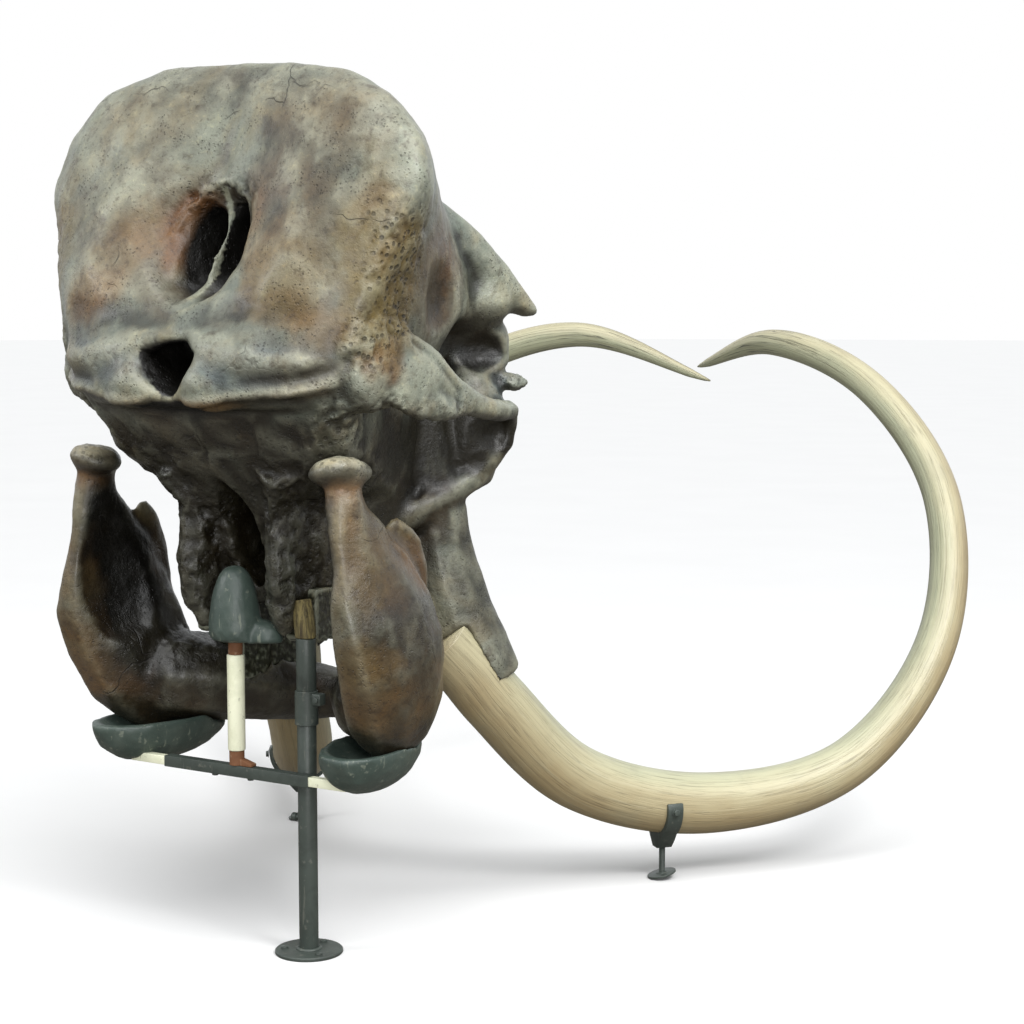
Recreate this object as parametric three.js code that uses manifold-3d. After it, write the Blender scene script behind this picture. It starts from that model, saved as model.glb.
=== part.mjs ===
// Fossil mammoth skull with its jaw, teeth and tusks, standing on its steel mount.
// Millimetres, +Z up. The face looks along -Y, and the animal's left is +X.
// The origin is the centre of the underside of the main post's floor flange.
import * as THREE from "three";
import { ImprovedNoise } from "three/addons/math/ImprovedNoise.js";
import { mergeVertices } from "three/addons/utils/BufferGeometryUtils.js";
import Module from "manifold-3d";

// ---- Driving dimensions -------------------------------------------------
const MIDLINE = 168; // the skull's plane of symmetry stands this far to +X of the post
const TOUCH = 0.3; // gap left between pieces that touch
const FIT = 0.5; // clearance of a tusk or tooth in its socket
const PLAIN = 5; // bone facets that depart by less than this are merged

const POST_R = 21.2; // lower post, a 42.4 mm steel tube
const POST_WALL = 3.2;
const POST_TOP = 509;
const UPPER_POST_R = 22;
const UPPER_POST_TOP = 700;
const SLEEVE_R = 26;
const SLEEVE_TOP = 585;
const WEDGE_TOP = 782;
const FLANGE_R = 75;
const FLANGE_T = 8;
const BAR_SIZE = 25; // square cross bar
const BAR_WALL = 2;
const BAR_Z = 394;
const BAR_LEFT = 200; // ends of the bar, from the midline
const BAR_RIGHT = -204;
const ARM_REACH = 120; // how far a cradle arm slides into the bar
const PROP_R = 19.5;
const PROP_TOP = 654;
const FERRULE_R = 17;
const FERRULE_LOW = 33; // height of the ferrule under the prop
const PAD_R = 61;
const PAD_BOTTOM = 684;
const PAD_TOP = 853;
const FOOT_R = 36;
const FOOT_T = 5;
const FOOT_TILT = THREE.MathUtils.degToRad(14);
const FOOT_AT = 0.3665; // where along the tusk its foot stands
const ROD_R = 8;
const STRAP_W = 40;
const STRAP_DEPTH = 38; // depth of the saddle below the tusk
const STRAP_T = 7;

const PRONG_R = 80; // radius of a tusk where it leaves its sheath
const TUSK_TIP_R = 9;
const CROWN_SKEW = 15;
const CROWN_SHIFT = 12;

const BONE = { color: 0x7d7564, roughness: 0.55, metalness: 0 };
const JAW_BONE = { color: 0x5a4a3a, roughness: 0.55, metalness: 0 };
const IVORY = { color: 0xb5a882, roughness: 0.35, metalness: 0 };
const ENAMEL = { color: 0x4a473c, roughness: 0.5, metalness: 0 };
const STEEL = { color: 0x4b5450, roughness: 0.5, metalness: 0.4 };
const PADDING = { color: 0x33413e, roughness: 0.7, metalness: 0 };
const CREAM = { color: 0xd9dcbc, roughness: 0.6, metalness: 0 };
const RUST = { color: 0x7a5338, roughness: 0.8, metalness: 0.2 };
const WOOD = { color: 0x6e6440, roughness: 0.8, metalness: 0 };

// ---- Solids -------------------------------------------------------------
const wasm = await Module();
wasm.setup();
const grain = new ImprovedNoise();
const vec = (x, y, z) => new THREE.Vector3(x, y, z);
const ACROSS = vec(1, 0, 0);
const { degToRad } = THREE.MathUtils;

/** The closed solid of a three.js geometry. */
function solid(geometry) {
  const bare = geometry.clone();
  bare.deleteAttribute("normal");
  bare.deleteAttribute("uv");
  const merged = mergeVertices(bare, 1e-3);
  return new wasm.Manifold(
    new wasm.Mesh({
      numProp: 3,
      vertProperties: merged.attributes.position.array,
      triVerts: new Uint32Array(merged.index.array),
    }),
  );
}

/** The geometry of a solid, for a mesh. */
function geometryOf(body) {
  const { vertProperties, triVerts } = body.getMesh();
  return new THREE.BufferGeometry()
    .setAttribute("position", new THREE.BufferAttribute(vertProperties, 3))
    .setIndex(new THREE.BufferAttribute(triVerts, 1));
}

const join = (...bodies) => bodies.reduce((all, body) => all.add(body));
const cut = (body, ...tools) => tools.reduce((rest, tool) => rest.subtract(tool), body);

/** A body with fewer facets, and with its sealed cavities filled. */
const plain = (body) => join(...body.simplify(PLAIN).decompose().filter((shell) => shell.volume() > 0));

/** What make gives for the right (-1) and for the left (1). */
const both = (make) => [make(-1), make(1)];

/** Moves each vertex of a geometry to where place(position, uv) puts it. */
function reshape(geometry, place) {
  const { position, uv } = geometry.attributes;
  for (let i = 0; i < position.count; i++) {
    const from = vec(0, 0, 0).fromBufferAttribute(position, i);
    const at = place(from, new THREE.Vector2().fromBufferAttribute(uv, i));
    position.setXYZ(i, at.x, at.y, at.z);
  }
  return geometry;
}

/** The left shoulder of the crown stands a little higher and further out than the right. */
function skewed(at) {
  const { smoothstep } = THREE.MathUtils;
  at.x += CROWN_SHIFT * smoothstep(at.z, 1350, 1600) * (1 - smoothstep(at.z, 1680, 1880));
  at.z += CROWN_SKEW * (at.x / 300) * smoothstep(at.z, 1600, 1900);
  return at;
}

/** Bone is never quite even: it swells by up to `height` over each `wave`. */
function swell(at, height, wave) {
  const rise = height * grain.noise(at.x / wave, at.y / wave, at.z / wave + 7.3);
  return at.addScalar(rise);
}

/**
 * A closed hull through guide lines that run from its base to its crown. The first and last
 * guide lie in the midplane, the others on the left, and the right is their mirror image.
 */
function hull(guides, around, levels, roughness) {
  const lines = guides.map((g) => new THREE.CatmullRomCurve3(g.map((p) => vec(...p))));
  const outlines = [];
  for (let j = 0; j <= levels; j++) {
    const left = lines.map((line) => line.getPoint(1 - j / levels));
    const right = left.slice(1, -1).map((p) => vec(-p.x, p.y, p.z));
    const ring = [left[0], ...right, left.at(-1), ...left.slice(1, -1).reverse()];
    outlines.push(new THREE.CatmullRomCurve3(ring, true, "centripetal"));
  }
  const rows = levels + 2;
  const place = (from, uv) => {
    const row = Math.round((1 - uv.y) * rows);
    const ring = outlines[THREE.MathUtils.clamp(row - 1, 0, levels)];
    if (row > 0 && row < rows) return skewed(swell(ring.getPoint(uv.x % 1), roughness, 90));
    const marks = ring.getPoints(7);
    return marks.reduce((sum, p) => sum.add(p)).multiplyScalar(1 / marks.length);
  };
  return solid(reshape(new THREE.SphereGeometry(1, around, rows), place));
}

/**
 * A limb swept through stations [x, y, z, half width, half depth], its width along X as far
 * as the path allows. Its ends are flat.
 */
function limb(stations, { around = 10, steps = 10, roughness = 2 } = {}) {
  const path = new THREE.CatmullRomCurve3(stations.map(([x, y, z]) => vec(x, y, z)));
  const sizes = new THREE.CatmullRomCurve3(stations.map((s) => vec(s[3], s[4], 0)));
  const frames = [];
  let width = ACROSS.clone();
  for (let j = 0; j <= steps; j++) {
    const along = path.getTangent(j / steps);
    width = width.clone().addScaledVector(along, -width.dot(along)).normalize();
    frames.push({ width, depth: along.clone().cross(width) });
  }
  const place = (from) => {
    const j = Math.round((0.5 - from.y) * steps);
    const size = sizes.getPoint(j / steps);
    const at = path
      .getPoint(j / steps)
      .addScaledVector(frames[j].width, from.x * size.x)
      .addScaledVector(frames[j].depth, from.z * size.y);
    return Math.hypot(from.x, from.z) > 0.5 ? swell(at, roughness, 60) : at;
  };
  return solid(reshape(new THREE.CylinderGeometry(1, 1, 1, around, steps), place));
}

/** The stations of a left-hand limb, carried to the given side. */
const onSide = (hand, stations) => stations.map(([x, ...rest]) => [hand * x, ...rest]);

/** The rotation by the given degrees about X, Y and Z. */
const turned = (turn) => new THREE.Quaternion().setFromEuler(new THREE.Euler(...turn.map(degToRad)));

/** An uneven rounded lump with its three half sizes, turned about X, Y and Z in degrees. */
function lump([x, y, z], [a, b, c], { turn = [0, 0, 0], detail = 1, roughness = 3 } = {}) {
  const place = (from) => {
    const at = from.multiply(vec(a, b, c)).applyQuaternion(turned(turn));
    return swell(at.add(vec(x, y, z)), roughness, 45);
  };
  return solid(reshape(new THREE.IcosahedronGeometry(1, detail), place));
}

/** A piece turned on a lathe from its profile of [radius, height], standing at (x, y). */
function turnedPiece(profile, x, y, bottom, sides = 20) {
  const points = profile.map(([r, h]) => new THREE.Vector2(r, h));
  const lathe = new THREE.LatheGeometry(points, sides).rotateX(Math.PI / 2);
  return solid(lathe.translate(x, y, bottom));
}

const rod = (x, y, bottom, top, radius, sides = 20) =>
  turnedPiece([[0, 0], [radius, 0], [radius, top - bottom], [0, top - bottom]], x, y, bottom, sides);

/** A box between two opposite corners. */
function block(from, to) {
  const size = to.map((end, i) => end - from[i]);
  const centre = to.map((end, i) => (end + from[i]) / 2);
  return solid(new THREE.BoxGeometry(...size).translate(...centre));
}

/** A box round a centre, turned about X, Y and Z in degrees. */
function slab([x, y, z], size, turn) {
  const box = new THREE.BoxGeometry(...size);
  return solid(box.applyQuaternion(turned(turn)).translate(x, y, z));
}

/** A round bar from a point, along a direction. */
function bolt(from, direction, length, radius, sides = 12) {
  const turn = new THREE.Quaternion().setFromUnitVectors(vec(0, 1, 0), direction);
  const centre = from.clone().addScaledVector(direction, length / 2);
  return solid(
    new THREE.CylinderGeometry(radius, radius, length, sides)
      .applyQuaternion(turn)
      .translate(centre.x, centre.y, centre.z),
  );
}

/** Cuts a body back from a neighbour that lies in the given direction, until they just touch. */
const seated = (body, neighbour, [x, y, z]) =>
  cut(body, neighbour.translate([-x * TOUCH, -y * TOUCH, -z * TOUCH]));

// ---- Cranium ------------------------------------------------------------
// Guide lines of the braincase: [half width, fore-aft, height] at eight levels, from the
// level of the jaw joint up to the crown.
const BRAINCASE = [
  // along the middle of the back of the head
  [
    [0, 225, 1205], [0, 280, 1262], [0, 232, 1345], [0, 152, 1455],
    [0, 76, 1590], [0, 34, 1710], [0, 6, 1850], [0, -60, 1944],
  ],
  // the fullest part of the back, where the neck muscles sat
  [
    [150, 220, 1205], [190, 270, 1258], [205, 238, 1345], [225, 198, 1455],
    [250, 140, 1590], [265, 86, 1710], [235, 32, 1855], [155, -50, 1940],
  ],
  // the crest between the back and the temple
  [
    [335, 116, 1205], [364, 140, 1262], [382, 132, 1345], [420, 106, 1455],
    [470, 56, 1590], [512, 10, 1710], [412, -4, 1850], [262, -62, 1924],
  ],
  // the hollow of the temple
  [
    [270, -60, 1205], [345, -60, 1285], [398, -78, 1370], [404, -92, 1470],
    [418, -120, 1590], [425, -135, 1710], [335, -140, 1850], [200, -138, 1915],
  ],
  // the ridge from the crown to the brow
  [
    [235, -330, 1205], [255, -400, 1285], [285, -470, 1370], [285, -490, 1470],
    [262, -440, 1590], [235, -370, 1710], [215, -262, 1850], [130, -180, 1912],
  ],
  // beside the nose
  [
    [150, -470, 1205], [165, -520, 1285], [185, -560, 1370], [190, -540, 1470],
    [165, -485, 1590], [150, -420, 1710], [125, -310, 1850], [80, -195, 1912],
  ],
  // along the middle of the face
  [
    [0, -480, 1205], [0, -505, 1285], [0, -520, 1370], [0, -500, 1470],
    [0, -460, 1590], [0, -410, 1710], [0, -315, 1850], [0, -190, 1918],
  ],
];

// Guide lines of the skull base and palate, from the foot of the palate upwards.
const SKULL_BASE = [
  [[0, -60, 760], [0, -30, 860], [0, 40, 980], [0, 130, 1100], [0, 215, 1240]],
  [[95, -50, 740], [105, -20, 860], [120, 30, 980], [190, 110, 1100], [240, 190, 1240]],
  [[150, -60, 735], [160, -40, 860], [165, -20, 980], [315, 70, 1100], [372, 125, 1240]],
  [[165, -150, 735], [175, -160, 860], [200, -150, 980], [300, -40, 1100], [330, -20, 1240]],
  [[155, -300, 740], [180, -330, 860], [205, -350, 980], [225, -300, 1100], [240, -300, 1240]],
  [[100, -420, 750], [130, -440, 860], [150, -460, 980], [160, -470, 1100], [150, -480, 1240]],
  [[0, -440, 770], [0, -450, 860], [0, -470, 980], [0, -480, 1100], [0, -490, 1240]],
];

/** The brow: a thick ridge out to the point above the eye. */
const brow = (hand) =>
  join(
    limb(
      onSide(hand, [
        [205, -350, 1660, 34, 30], [236, -415, 1606, 48, 44], [263, -468, 1558, 52, 52],
        [290, -535, 1496, 52, 50], [320, -605, 1432, 42, 38], [342, -645, 1407, 26, 24],
        [356, -664, 1396, 10, 10],
      ]),
      { steps: 6, around: 6 },
    ),
    lump([hand * 235, -545, 1430], [118, 90, 78]),
    lump([hand * 236, -572, 1318], [86, 90, 116], { roughness: 6 }),
  );

/** The cheek arch, broken behind, with the bar that runs from its front to the palate. */
const arch = (hand) =>
  join(
    lump([hand * 372, 48, 1345], [52, 96, 78], { roughness: 8 }),
    limb(
      onSide(hand, [
        [396, 10, 1350, 30, 44], [420, -80, 1308, 24, 42], [424, -185, 1238, 22, 40],
        [408, -310, 1197, 26, 30], [382, -430, 1180, 30, 28], [348, -540, 1168, 34, 34],
        [300, -600, 1150, 34, 36],
      ]),
      { steps: 6, around: 6 },
    ),
    limb(
      onSide(hand, [
        [415, 30, 1222, 10, 14], [428, -50, 1212, 24, 32], [425, -150, 1200, 28, 32],
        [415, -260, 1196, 22, 22],
      ]),
      { steps: 3, around: 6, roughness: 5 },
    ),
    limb(
      onSide(hand, [
        [325, -570, 1160, 36, 34], [312, -560, 1075, 30, 34], [258, -470, 990, 28, 38],
        [190, -340, 925, 28, 44], [130, -240, 905, 24, 36],
      ]),
      { steps: 5, around: 6 },
    ),
    lump([hand * 338, 84, 1222], [46, 52, 44], { detail: 0 }),
    lump([hand * 318, -612, 1236], [38, 54, 24], { detail: 0, roughness: 10 }),
    lump([hand * 240, -542, 1135], [92, 92, 165], { roughness: 8 }),
  );

/** The sheath of bone that holds the root of a tusk; its lip is lower in front. */
const sheath = (hand) =>
  cut(
    limb(
      onSide(hand, [
        [135, -430, 1250, 105, 95], [160, -455, 1050, 98, 92], [185, -475, 860, 94, 92],
        [222, -500, 700, 95, 96], [262, -528, 590, 98, 100], [284, -548, 525, 97, 100],
      ]),
      { around: 10, steps: 5 },
    ),
    slab([hand * 280, -548, 452], [300, 400, 200], [-28, hand * 14, 0]),
  );

/** The knuckle beside the foramen. */
const condyle = (hand) =>
  lump([hand * 96, 226, 1258], [74, 62, 62], { turn: [0, hand * 20, 0] });

/** The rough plates behind the palate. */
const pterygoid = (hand) =>
  join(
    limb(
      onSide(hand, [
        [150, 60, 1080, 60, 66], [112, 5, 975, 34, 60], [118, 20, 880, 44, 58],
        [116, 5, 785, 42, 56], [104, -18, 712, 34, 44],
      ]),
      { steps: 5, around: 6, roughness: 14 },
    ),
    lump([hand * 215, 30, 1112], [72, 66, 56], { roughness: 14 }),
  );

/** The shield-shaped foramen and its canal, which rises into the braincase. */
function foramen() {
  const shield = new THREE.Shape()
    .moveTo(0, -72)
    .quadraticCurveTo(66, -44, 88, 26)
    .quadraticCurveTo(46, 44, 0, 36)
    .quadraticCurveTo(-46, 44, -88, 26)
    .quadraticCurveTo(-66, -44, 0, -72);
  const canal = new THREE.ExtrudeGeometry(shield, { depth: 260, curveSegments: 3, bevelEnabled: false });
  return solid(canal.rotateX(degToRad(90 - 14)).translate(0, 340, 1276));
}

/** The hollows of the cranium: neck pit, foramen, nose, eyes, temples and choana. */
function hollows() {
  const pit = (hand) =>
    lump([hand * 54, 42, 1546], [43, 138, 122], { turn: [24, 0, hand * -16], roughness: 5 });
  const pitMouth = lump([0, 116, 1545], [118, 62, 142], { turn: [24, 0, 0], roughness: 4 });
  const eye = (hand) =>
    lump([hand * 345, -455, 1318], [130, 150, 72], { turn: [8, 0, hand * 14], roughness: 6 });
  const temple = (hand) =>
    lump([hand * 425, -265, 1425], [92, 130, 140], { turn: [14, 0, hand * 8] });
  const nose = lump([0, -570, 1395], [190, 120, 62], { turn: [-20, 0, 0] });
  const face = lump([0, -590, 800], [70, 90, 330], { turn: [-6, 0, 0] });
  const choana = limb(
    [
      [0, 190, 1010, 34, 60], [0, 60, 930, 50, 120], [0, -60, 890, 50, 110],
      [0, -190, 880, 36, 60],
    ],
    { steps: 4, around: 6, roughness: 6 },
  );
  return [...both(pit), pitMouth, ...both(eye), ...both(temple), foramen(), nose, face, choana];
}

// ---- Jaw ----------------------------------------------------------------
/** The hollow in the inner face of a ramus. */
const ramusHollow = (hand) =>
  lump([hand * 285, 66, 820], [66, 138, 178], { turn: [-8, 0, hand * -12] });

/** One half of the jaw: knuckle and neck, tall ramus with its front point, and the body. */
function jawHalf(hand) {
  const reach = hand < 0 ? 84 : 60; // the right front point is the broader one
  return join(
    lump([hand * 340, 92, 1074], [50, 74, 32], { turn: [0, 0, hand * 12], roughness: 7 }),
    limb(
      onSide(hand, [
        [336, 92, 1090, 36, 50], [340, 98, 1040, 32, 48], [350, 84, 960, 40, 72],
        [366, 42, 870, 54, 138], [380, 12, 775, 79, 166], [374, -28, 665, 97, 170],
        [350, -78, 570, 88, 160], [336, -98, 500, 72, 128], [328, -106, 448, 34, 70],
      ]),
      { steps: 10, around: 9, roughness: 4 },
    ),
    limb(
      onSide(hand, [
        [352, -64, 962, 12, 24], [356, -80, 900, 22, reach], [358, -92, 810, 30, reach + 20],
        [354, -104, 720, 40, reach + 6],
      ]),
      { steps: 4, around: 8, roughness: 5 },
    ),
    limb(
      onSide(hand, [
        [366, -16, 576, 60, 78], [306, -78, 566, 102, 112], [240, -160, 550, 108, 106],
        [178, -280, 526, 86, 94], [118, -380, 495, 62, 76], [56, -452, 480, 50, 60],
        [0, -485, 478, 46, 50],
      ]),
      { steps: 6, around: 8, roughness: 5 },
    ),
  );
}

// ---- Teeth --------------------------------------------------------------
const MOLAR = { length: 220, width: 82, height: 110, ridges: 8, ridge: 10 };

/** A cheek tooth from its rear end: a block whose crown carries rounded enamel ridges. */
function molar(hand, [x, y, z], toeIn, crownDown, grow = 0) {
  const { length, width, height, ridges, ridge } = MOLAR;
  const pitch = length / ridges;
  const side = new THREE.Shape().moveTo(-grow, height).lineTo(-grow, -grow);
  for (let i = 0; i < ridges && !grow; i++) {
    side.quadraticCurveTo((i + 0.5) * pitch, -2 * ridge, (i + 1) * pitch, 0);
  }
  side.lineTo(length + grow, -grow).lineTo(length + grow, height);
  const flank = { depth: width + 2 * grow, curveSegments: 2, bevelEnabled: false };
  const tooth = new THREE.ExtrudeGeometry(side, flank).translate(0, 0, -width / 2 - grow);
  tooth.rotateX(Math.PI / 2).rotateZ(-Math.PI / 2);
  if (!crownDown) tooth.rotateY(Math.PI);
  return solid(tooth.rotateZ(hand * degToRad(-toeIn)).translate(hand * x, y, z));
}

const upperMolar = (hand, grow) => molar(hand, [128, -36, 690], 4, true, grow);
const lowerMolar = (hand, grow) => molar(hand, [178, -168, 660], 8, false, grow);

// ---- Tusks --------------------------------------------------------------
// Stations of a tusk from its root: [half width, fore-aft, height, radius].
const TUSK = [
  [225, -440, 640, 76], [262, -495, 570, 79], [304, -558, 480, PRONG_R],
  [418, -752, 271, 80], [638, -1025, 180, 76], [891, -1315, 256, 63],
  [1026, -1567, 542, 54], [963, -1752, 905, 49], [698, -1894, 1185, 45],
  [332, -2057, 1299, 38],
];
const TIP = { right: [-15, -2258, 1216], left: [-62, -2190, 1176] };

/** The stations of a tusk; the left one crosses the midline just behind the right one. */
function tuskStations(hand, grow = 0) {
  const tip = hand < 0 ? TIP.right : TIP.left;
  const shift = hand < 0 ? 0 : 16; // the left tip stands a little higher
  const stations = TUSK.map(([x, y, z, r], i) => {
    const raise = i === TUSK.length - 1 ? shift : 0;
    return [hand * x, y, z + raise + (i ? 0 : grow), r + grow, r + grow];
  });
  return [...stations, [hand * tip[0], tip[1], tip[2], TUSK_TIP_R, TUSK_TIP_R]];
}

const tusk = (hand, grow = 0) =>
  limb(tuskStations(hand, grow), { around: 10, steps: 19, roughness: 0 });

// ---- Stand --------------------------------------------------------------
const POST_X = -MIDLINE; // the stand is laid out from the midline too
const BAR_Y = POST_R + TOUCH + BAR_SIZE / 2;
const BAR_TOP = BAR_Z + BAR_SIZE / 2;

/** The floor flange, with a weld ring round the post and three screw holes. */
function floorFlange() {
  const profile = [
    [0, 0], [FLANGE_R, 0], [FLANGE_R, FLANGE_T - 2], [FLANGE_R - 3, FLANGE_T],
    [POST_R + 8, FLANGE_T], [POST_R + TOUCH, FLANGE_T + 5], [POST_R + TOUCH, FLANGE_T],
    [0, FLANGE_T],
  ];
  const holes = [30, 150, 270].map((angle) => {
    const [x, y] = [Math.cos(degToRad(angle)) * 54, Math.sin(degToRad(angle)) * 54];
    return rod(POST_X + x, y, -1, FLANGE_T + 1, 4.5, 8);
  });
  return cut(turnedPiece(profile, POST_X, 0, 0, 22), ...holes);
}

/** The tube of the lower post. */
function mainPost() {
  const [low, high] = [FLANGE_T + TOUCH, POST_TOP];
  const inner = POST_R - POST_WALL;
  const wall = [[inner, low], [POST_R, low], [POST_R, high], [inner, high], [inner, low]];
  return turnedPiece(wall, POST_X, 0, 0);
}

/** The sleeve that clamps the two posts, with the lug of its screw. */
const postSleeve = () =>
  cut(
    join(
      rod(POST_X, 0, POST_TOP + TOUCH, SLEEVE_TOP, SLEEVE_R),
      block([POST_X - SLEEVE_R - 18, -12, SLEEVE_TOP - 30], [POST_X - 15, 12, SLEEVE_TOP - 4]),
    ),
    bolt(vec(POST_X - SLEEVE_R - 9, -20, SLEEVE_TOP - 17), vec(0, 1, 0), 40, 4),
  );

/** The rough wooden wedge between the post and the palate. */
const headWedge = (grow = 0) =>
  cut(
    limb(
      [
        [POST_X - 2, 2, UPPER_POST_TOP - 14, 24 + grow, 22 + grow],
        [POST_X + 4, 0, 740, 25 + grow, 23 + grow],
        [POST_X + 12, -4, WEDGE_TOP + grow, 22 + grow, 20 + grow],
      ],
      { steps: 4, around: 8, roughness: 0 },
    ),
    rod(POST_X, 0, UPPER_POST_TOP - 60, UPPER_POST_TOP + TOUCH, 60, 8),
  );

/** The hollow square bar that carries the prop and the jaw. */
const crossBar = () => {
  const half = BAR_SIZE / 2;
  const bore = half - BAR_WALL;
  return cut(
    block([BAR_RIGHT, BAR_Y - half, BAR_Z - half], [BAR_LEFT, BAR_Y + half, BAR_Z + half]),
    block([BAR_RIGHT - 1, BAR_Y - bore, BAR_Z - bore], [BAR_LEFT + 1, BAR_Y + bore, BAR_Z + bore]),
  );
};

/** The pale arm that slides in one end of the bar and carries a cradle. */
function cradleArm(hand, cradle) {
  const half = BAR_SIZE / 2 - BAR_WALL - TOUCH;
  const [near, far] = [hand * ARM_REACH, hand * 300].sort((a, b) => a - b);
  const arm = block([near, BAR_Y - half, BAR_Z - half], [far, BAR_Y + half, BAR_Z + half]);
  return seated(arm, cradle, [hand, 0, 0]);
}

/** The padded cradle under one side of the jaw, a boat-shaped dish. */
function jawCradle(hand, jaw) {
  const turn = [0, 0, hand * -14];
  const boat = join(
    lump([hand * 300, -62, 462], [98, 190, 100], { turn, roughness: 0 }),
    lump([hand * 306, 16, 462], [78, 104, 84], { turn, roughness: 0 }),
  );
  const dish = lump([hand * 300, -62, 484], [86, 176, 52], { turn, roughness: 0 });
  const lid = block([hand * 300 - 250, -350, 473], [hand * 300 + 250, 250, 620]);
  return seated(cut(boat, dish, lid), jaw, [0, 0, 2]);
}

/** The prop's two ferrules; the lower one has a sloping foot on the bar. */
const lowerFerrule = () => {
  const low = BAR_TOP + TOUCH;
  const foot = new THREE.Shape().moveTo(0, 0).lineTo(-48, 0).lineTo(-40, 7).lineTo(0, 20);
  const toe = new THREE.ExtrudeGeometry(foot, { depth: 20, bevelEnabled: false });
  return join(
    rod(0, BAR_Y, low, low + FERRULE_LOW, FERRULE_R),
    solid(toe.rotateX(Math.PI / 2).translate(0, BAR_Y + 10, low)),
  );
};

const propTube = () => rod(0, BAR_Y, BAR_TOP + FERRULE_LOW + 2 * TOUCH, PROP_TOP, PROP_R);
const upperFerrule = () => rod(0, BAR_Y, PROP_TOP + TOUCH, PAD_BOTTOM - TOUCH, FERRULE_R - 1);

/** The carved pad on the prop: a dome with a low wing towards the right tooth row. */
function propPad(grow = 0) {
  const height = PAD_TOP - PAD_BOTTOM + grow;
  const dome = [[PAD_R + grow, 0]];
  for (let i = 1; i < 6; i++) {
    const rise = (i / 6) * (Math.PI / 2);
    dome.push([(PAD_R + grow) * Math.cos(rise) ** 0.8, height * Math.sin(rise)]);
  }
  return join(
    turnedPiece([[0, 0], ...dome, [0, height]], 0, BAR_Y, PAD_BOTTOM, 15),
    cut(
      lump([-60, BAR_Y - 22, PAD_BOTTOM + 8], [52 + grow, 40 + grow, 44 + grow], { roughness: 0 }),
      block([-200, -150, PAD_BOTTOM - 80], [100, 150, PAD_BOTTOM]),
    ),
  );
}

/** A tusk's centre line, and where its foot stands. */
function footing(hand) {
  const path = new THREE.CatmullRomCurve3(tuskStations(hand).map(([x, y, z]) => vec(x, y, z)));
  const centre = path.getPoint(FOOT_AT);
  const along = path.getTangent(FOOT_AT).setZ(0).normalize();
  return { centre, along, outward: vec(hand * Math.abs(along.y), hand * along.x * Math.sign(-along.y), 0) };
}

/** The saddle strap under a tusk, higher on its outer side, with a deep block beneath. */
function tuskSaddle(hand) {
  const { centre, along, outward } = footing(hand);
  const [out, low] = [PRONG_R + STRAP_T, -PRONG_R - STRAP_DEPTH + 4];
  const strap = new THREE.Shape()
    .moveTo(-14, low)
    .lineTo(14, low)
    .lineTo(34, low + 22)
    .absarc(0, 0, out, degToRad(-58), 0)
    .lineTo(out - 4, 12)
    .lineTo(30, 12)
    .lineTo(-30, -24)
    .lineTo(-out + 7, -24)
    .absarc(0, 0, out, degToRad(196), degToRad(238));
  const body = new THREE.ExtrudeGeometry(strap, { depth: STRAP_W, curveSegments: 5, bevelEnabled: false });
  const normal = outward.clone().cross(vec(0, 0, 1));
  body.translate(0, 0, -STRAP_W / 2);
  body.applyMatrix4(new THREE.Matrix4().makeBasis(outward, vec(0, 0, 1), normal));
  return cut(solid(body.translate(centre.x, centre.y, centre.z)), tusk(hand, TOUCH));
}

/** The screw head on the outer arm of a saddle. */
function saddleBolt(hand) {
  const { centre, outward } = footing(hand);
  const start = centre.clone().addScaledVector(outward, PRONG_R + STRAP_T + TOUCH);
  return bolt(start.setZ(centre.z - 8), outward, 9, 9);
}

/** The tilted disc on the floor, with its threaded boss. */
function tuskFoot(hand) {
  const { centre } = footing(hand);
  const disc = [
    [0, 0], [FOOT_R, 0], [FOOT_R, FOOT_T], [ROD_R + 6, FOOT_T + 2], [0, FOOT_T + 2],
  ].map(([r, h]) => new THREE.Vector2(r, h));
  const plate = new THREE.LatheGeometry(disc, 20).rotateX(Math.PI / 2);
  plate.rotateY(FOOT_TILT).rotateZ(degToRad(31)).computeBoundingBox();
  return solid(plate.translate(centre.x, centre.y, -plate.boundingBox.min.z));
}

const tuskRod = (hand, foot, saddle) => {
  const { centre } = footing(hand);
  const shaft = rod(centre.x, centre.y, 12, 90, ROD_R, 12);
  return seated(seated(shaft, foot, [0, 0, -1]), saddle, [0, 0, 1]);
};

// ---- Assembly -----------------------------------------------------------
const skull = new THREE.Group();
skull.position.x = MIDLINE;

/** Adds one named piece to the model. */
function piece(name, body, finish) {
  const mesh = new THREE.Mesh(geometryOf(body), new THREE.MeshStandardMaterial(finish));
  mesh.name = name;
  skull.add(mesh);
}

const names = (stem) => ["right", "left"].map((side) => `${stem}_${side}`);
const tusks = both((hand) => tusk(hand));
const sockets = both((hand) => tusk(hand, FIT));
const jaw = cut(
  plain(cut(join(...both(jawHalf)), ...both(ramusHollow))),
  ...both((hand) => lowerMolar(hand, FIT)),
);
const bone = join(
  hull(BRAINCASE, 24, 9, 7),
  hull(SKULL_BASE, 16, 4, 8),
  ...both(brow),
  ...both(arch),
  ...both(sheath),
  ...both(condyle),
  ...both(pterygoid),
);
const seats = [...sockets, ...both((hand) => upperMolar(hand, FIT)), headWedge(TOUCH), propPad(TOUCH)];
const cranium = cut(plain(cut(bone, ...hollows())), ...seats);
const cradles = both((hand) => jawCradle(hand, jaw));
const saddles = both(tuskSaddle);
const feet = both(tuskFoot);

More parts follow.
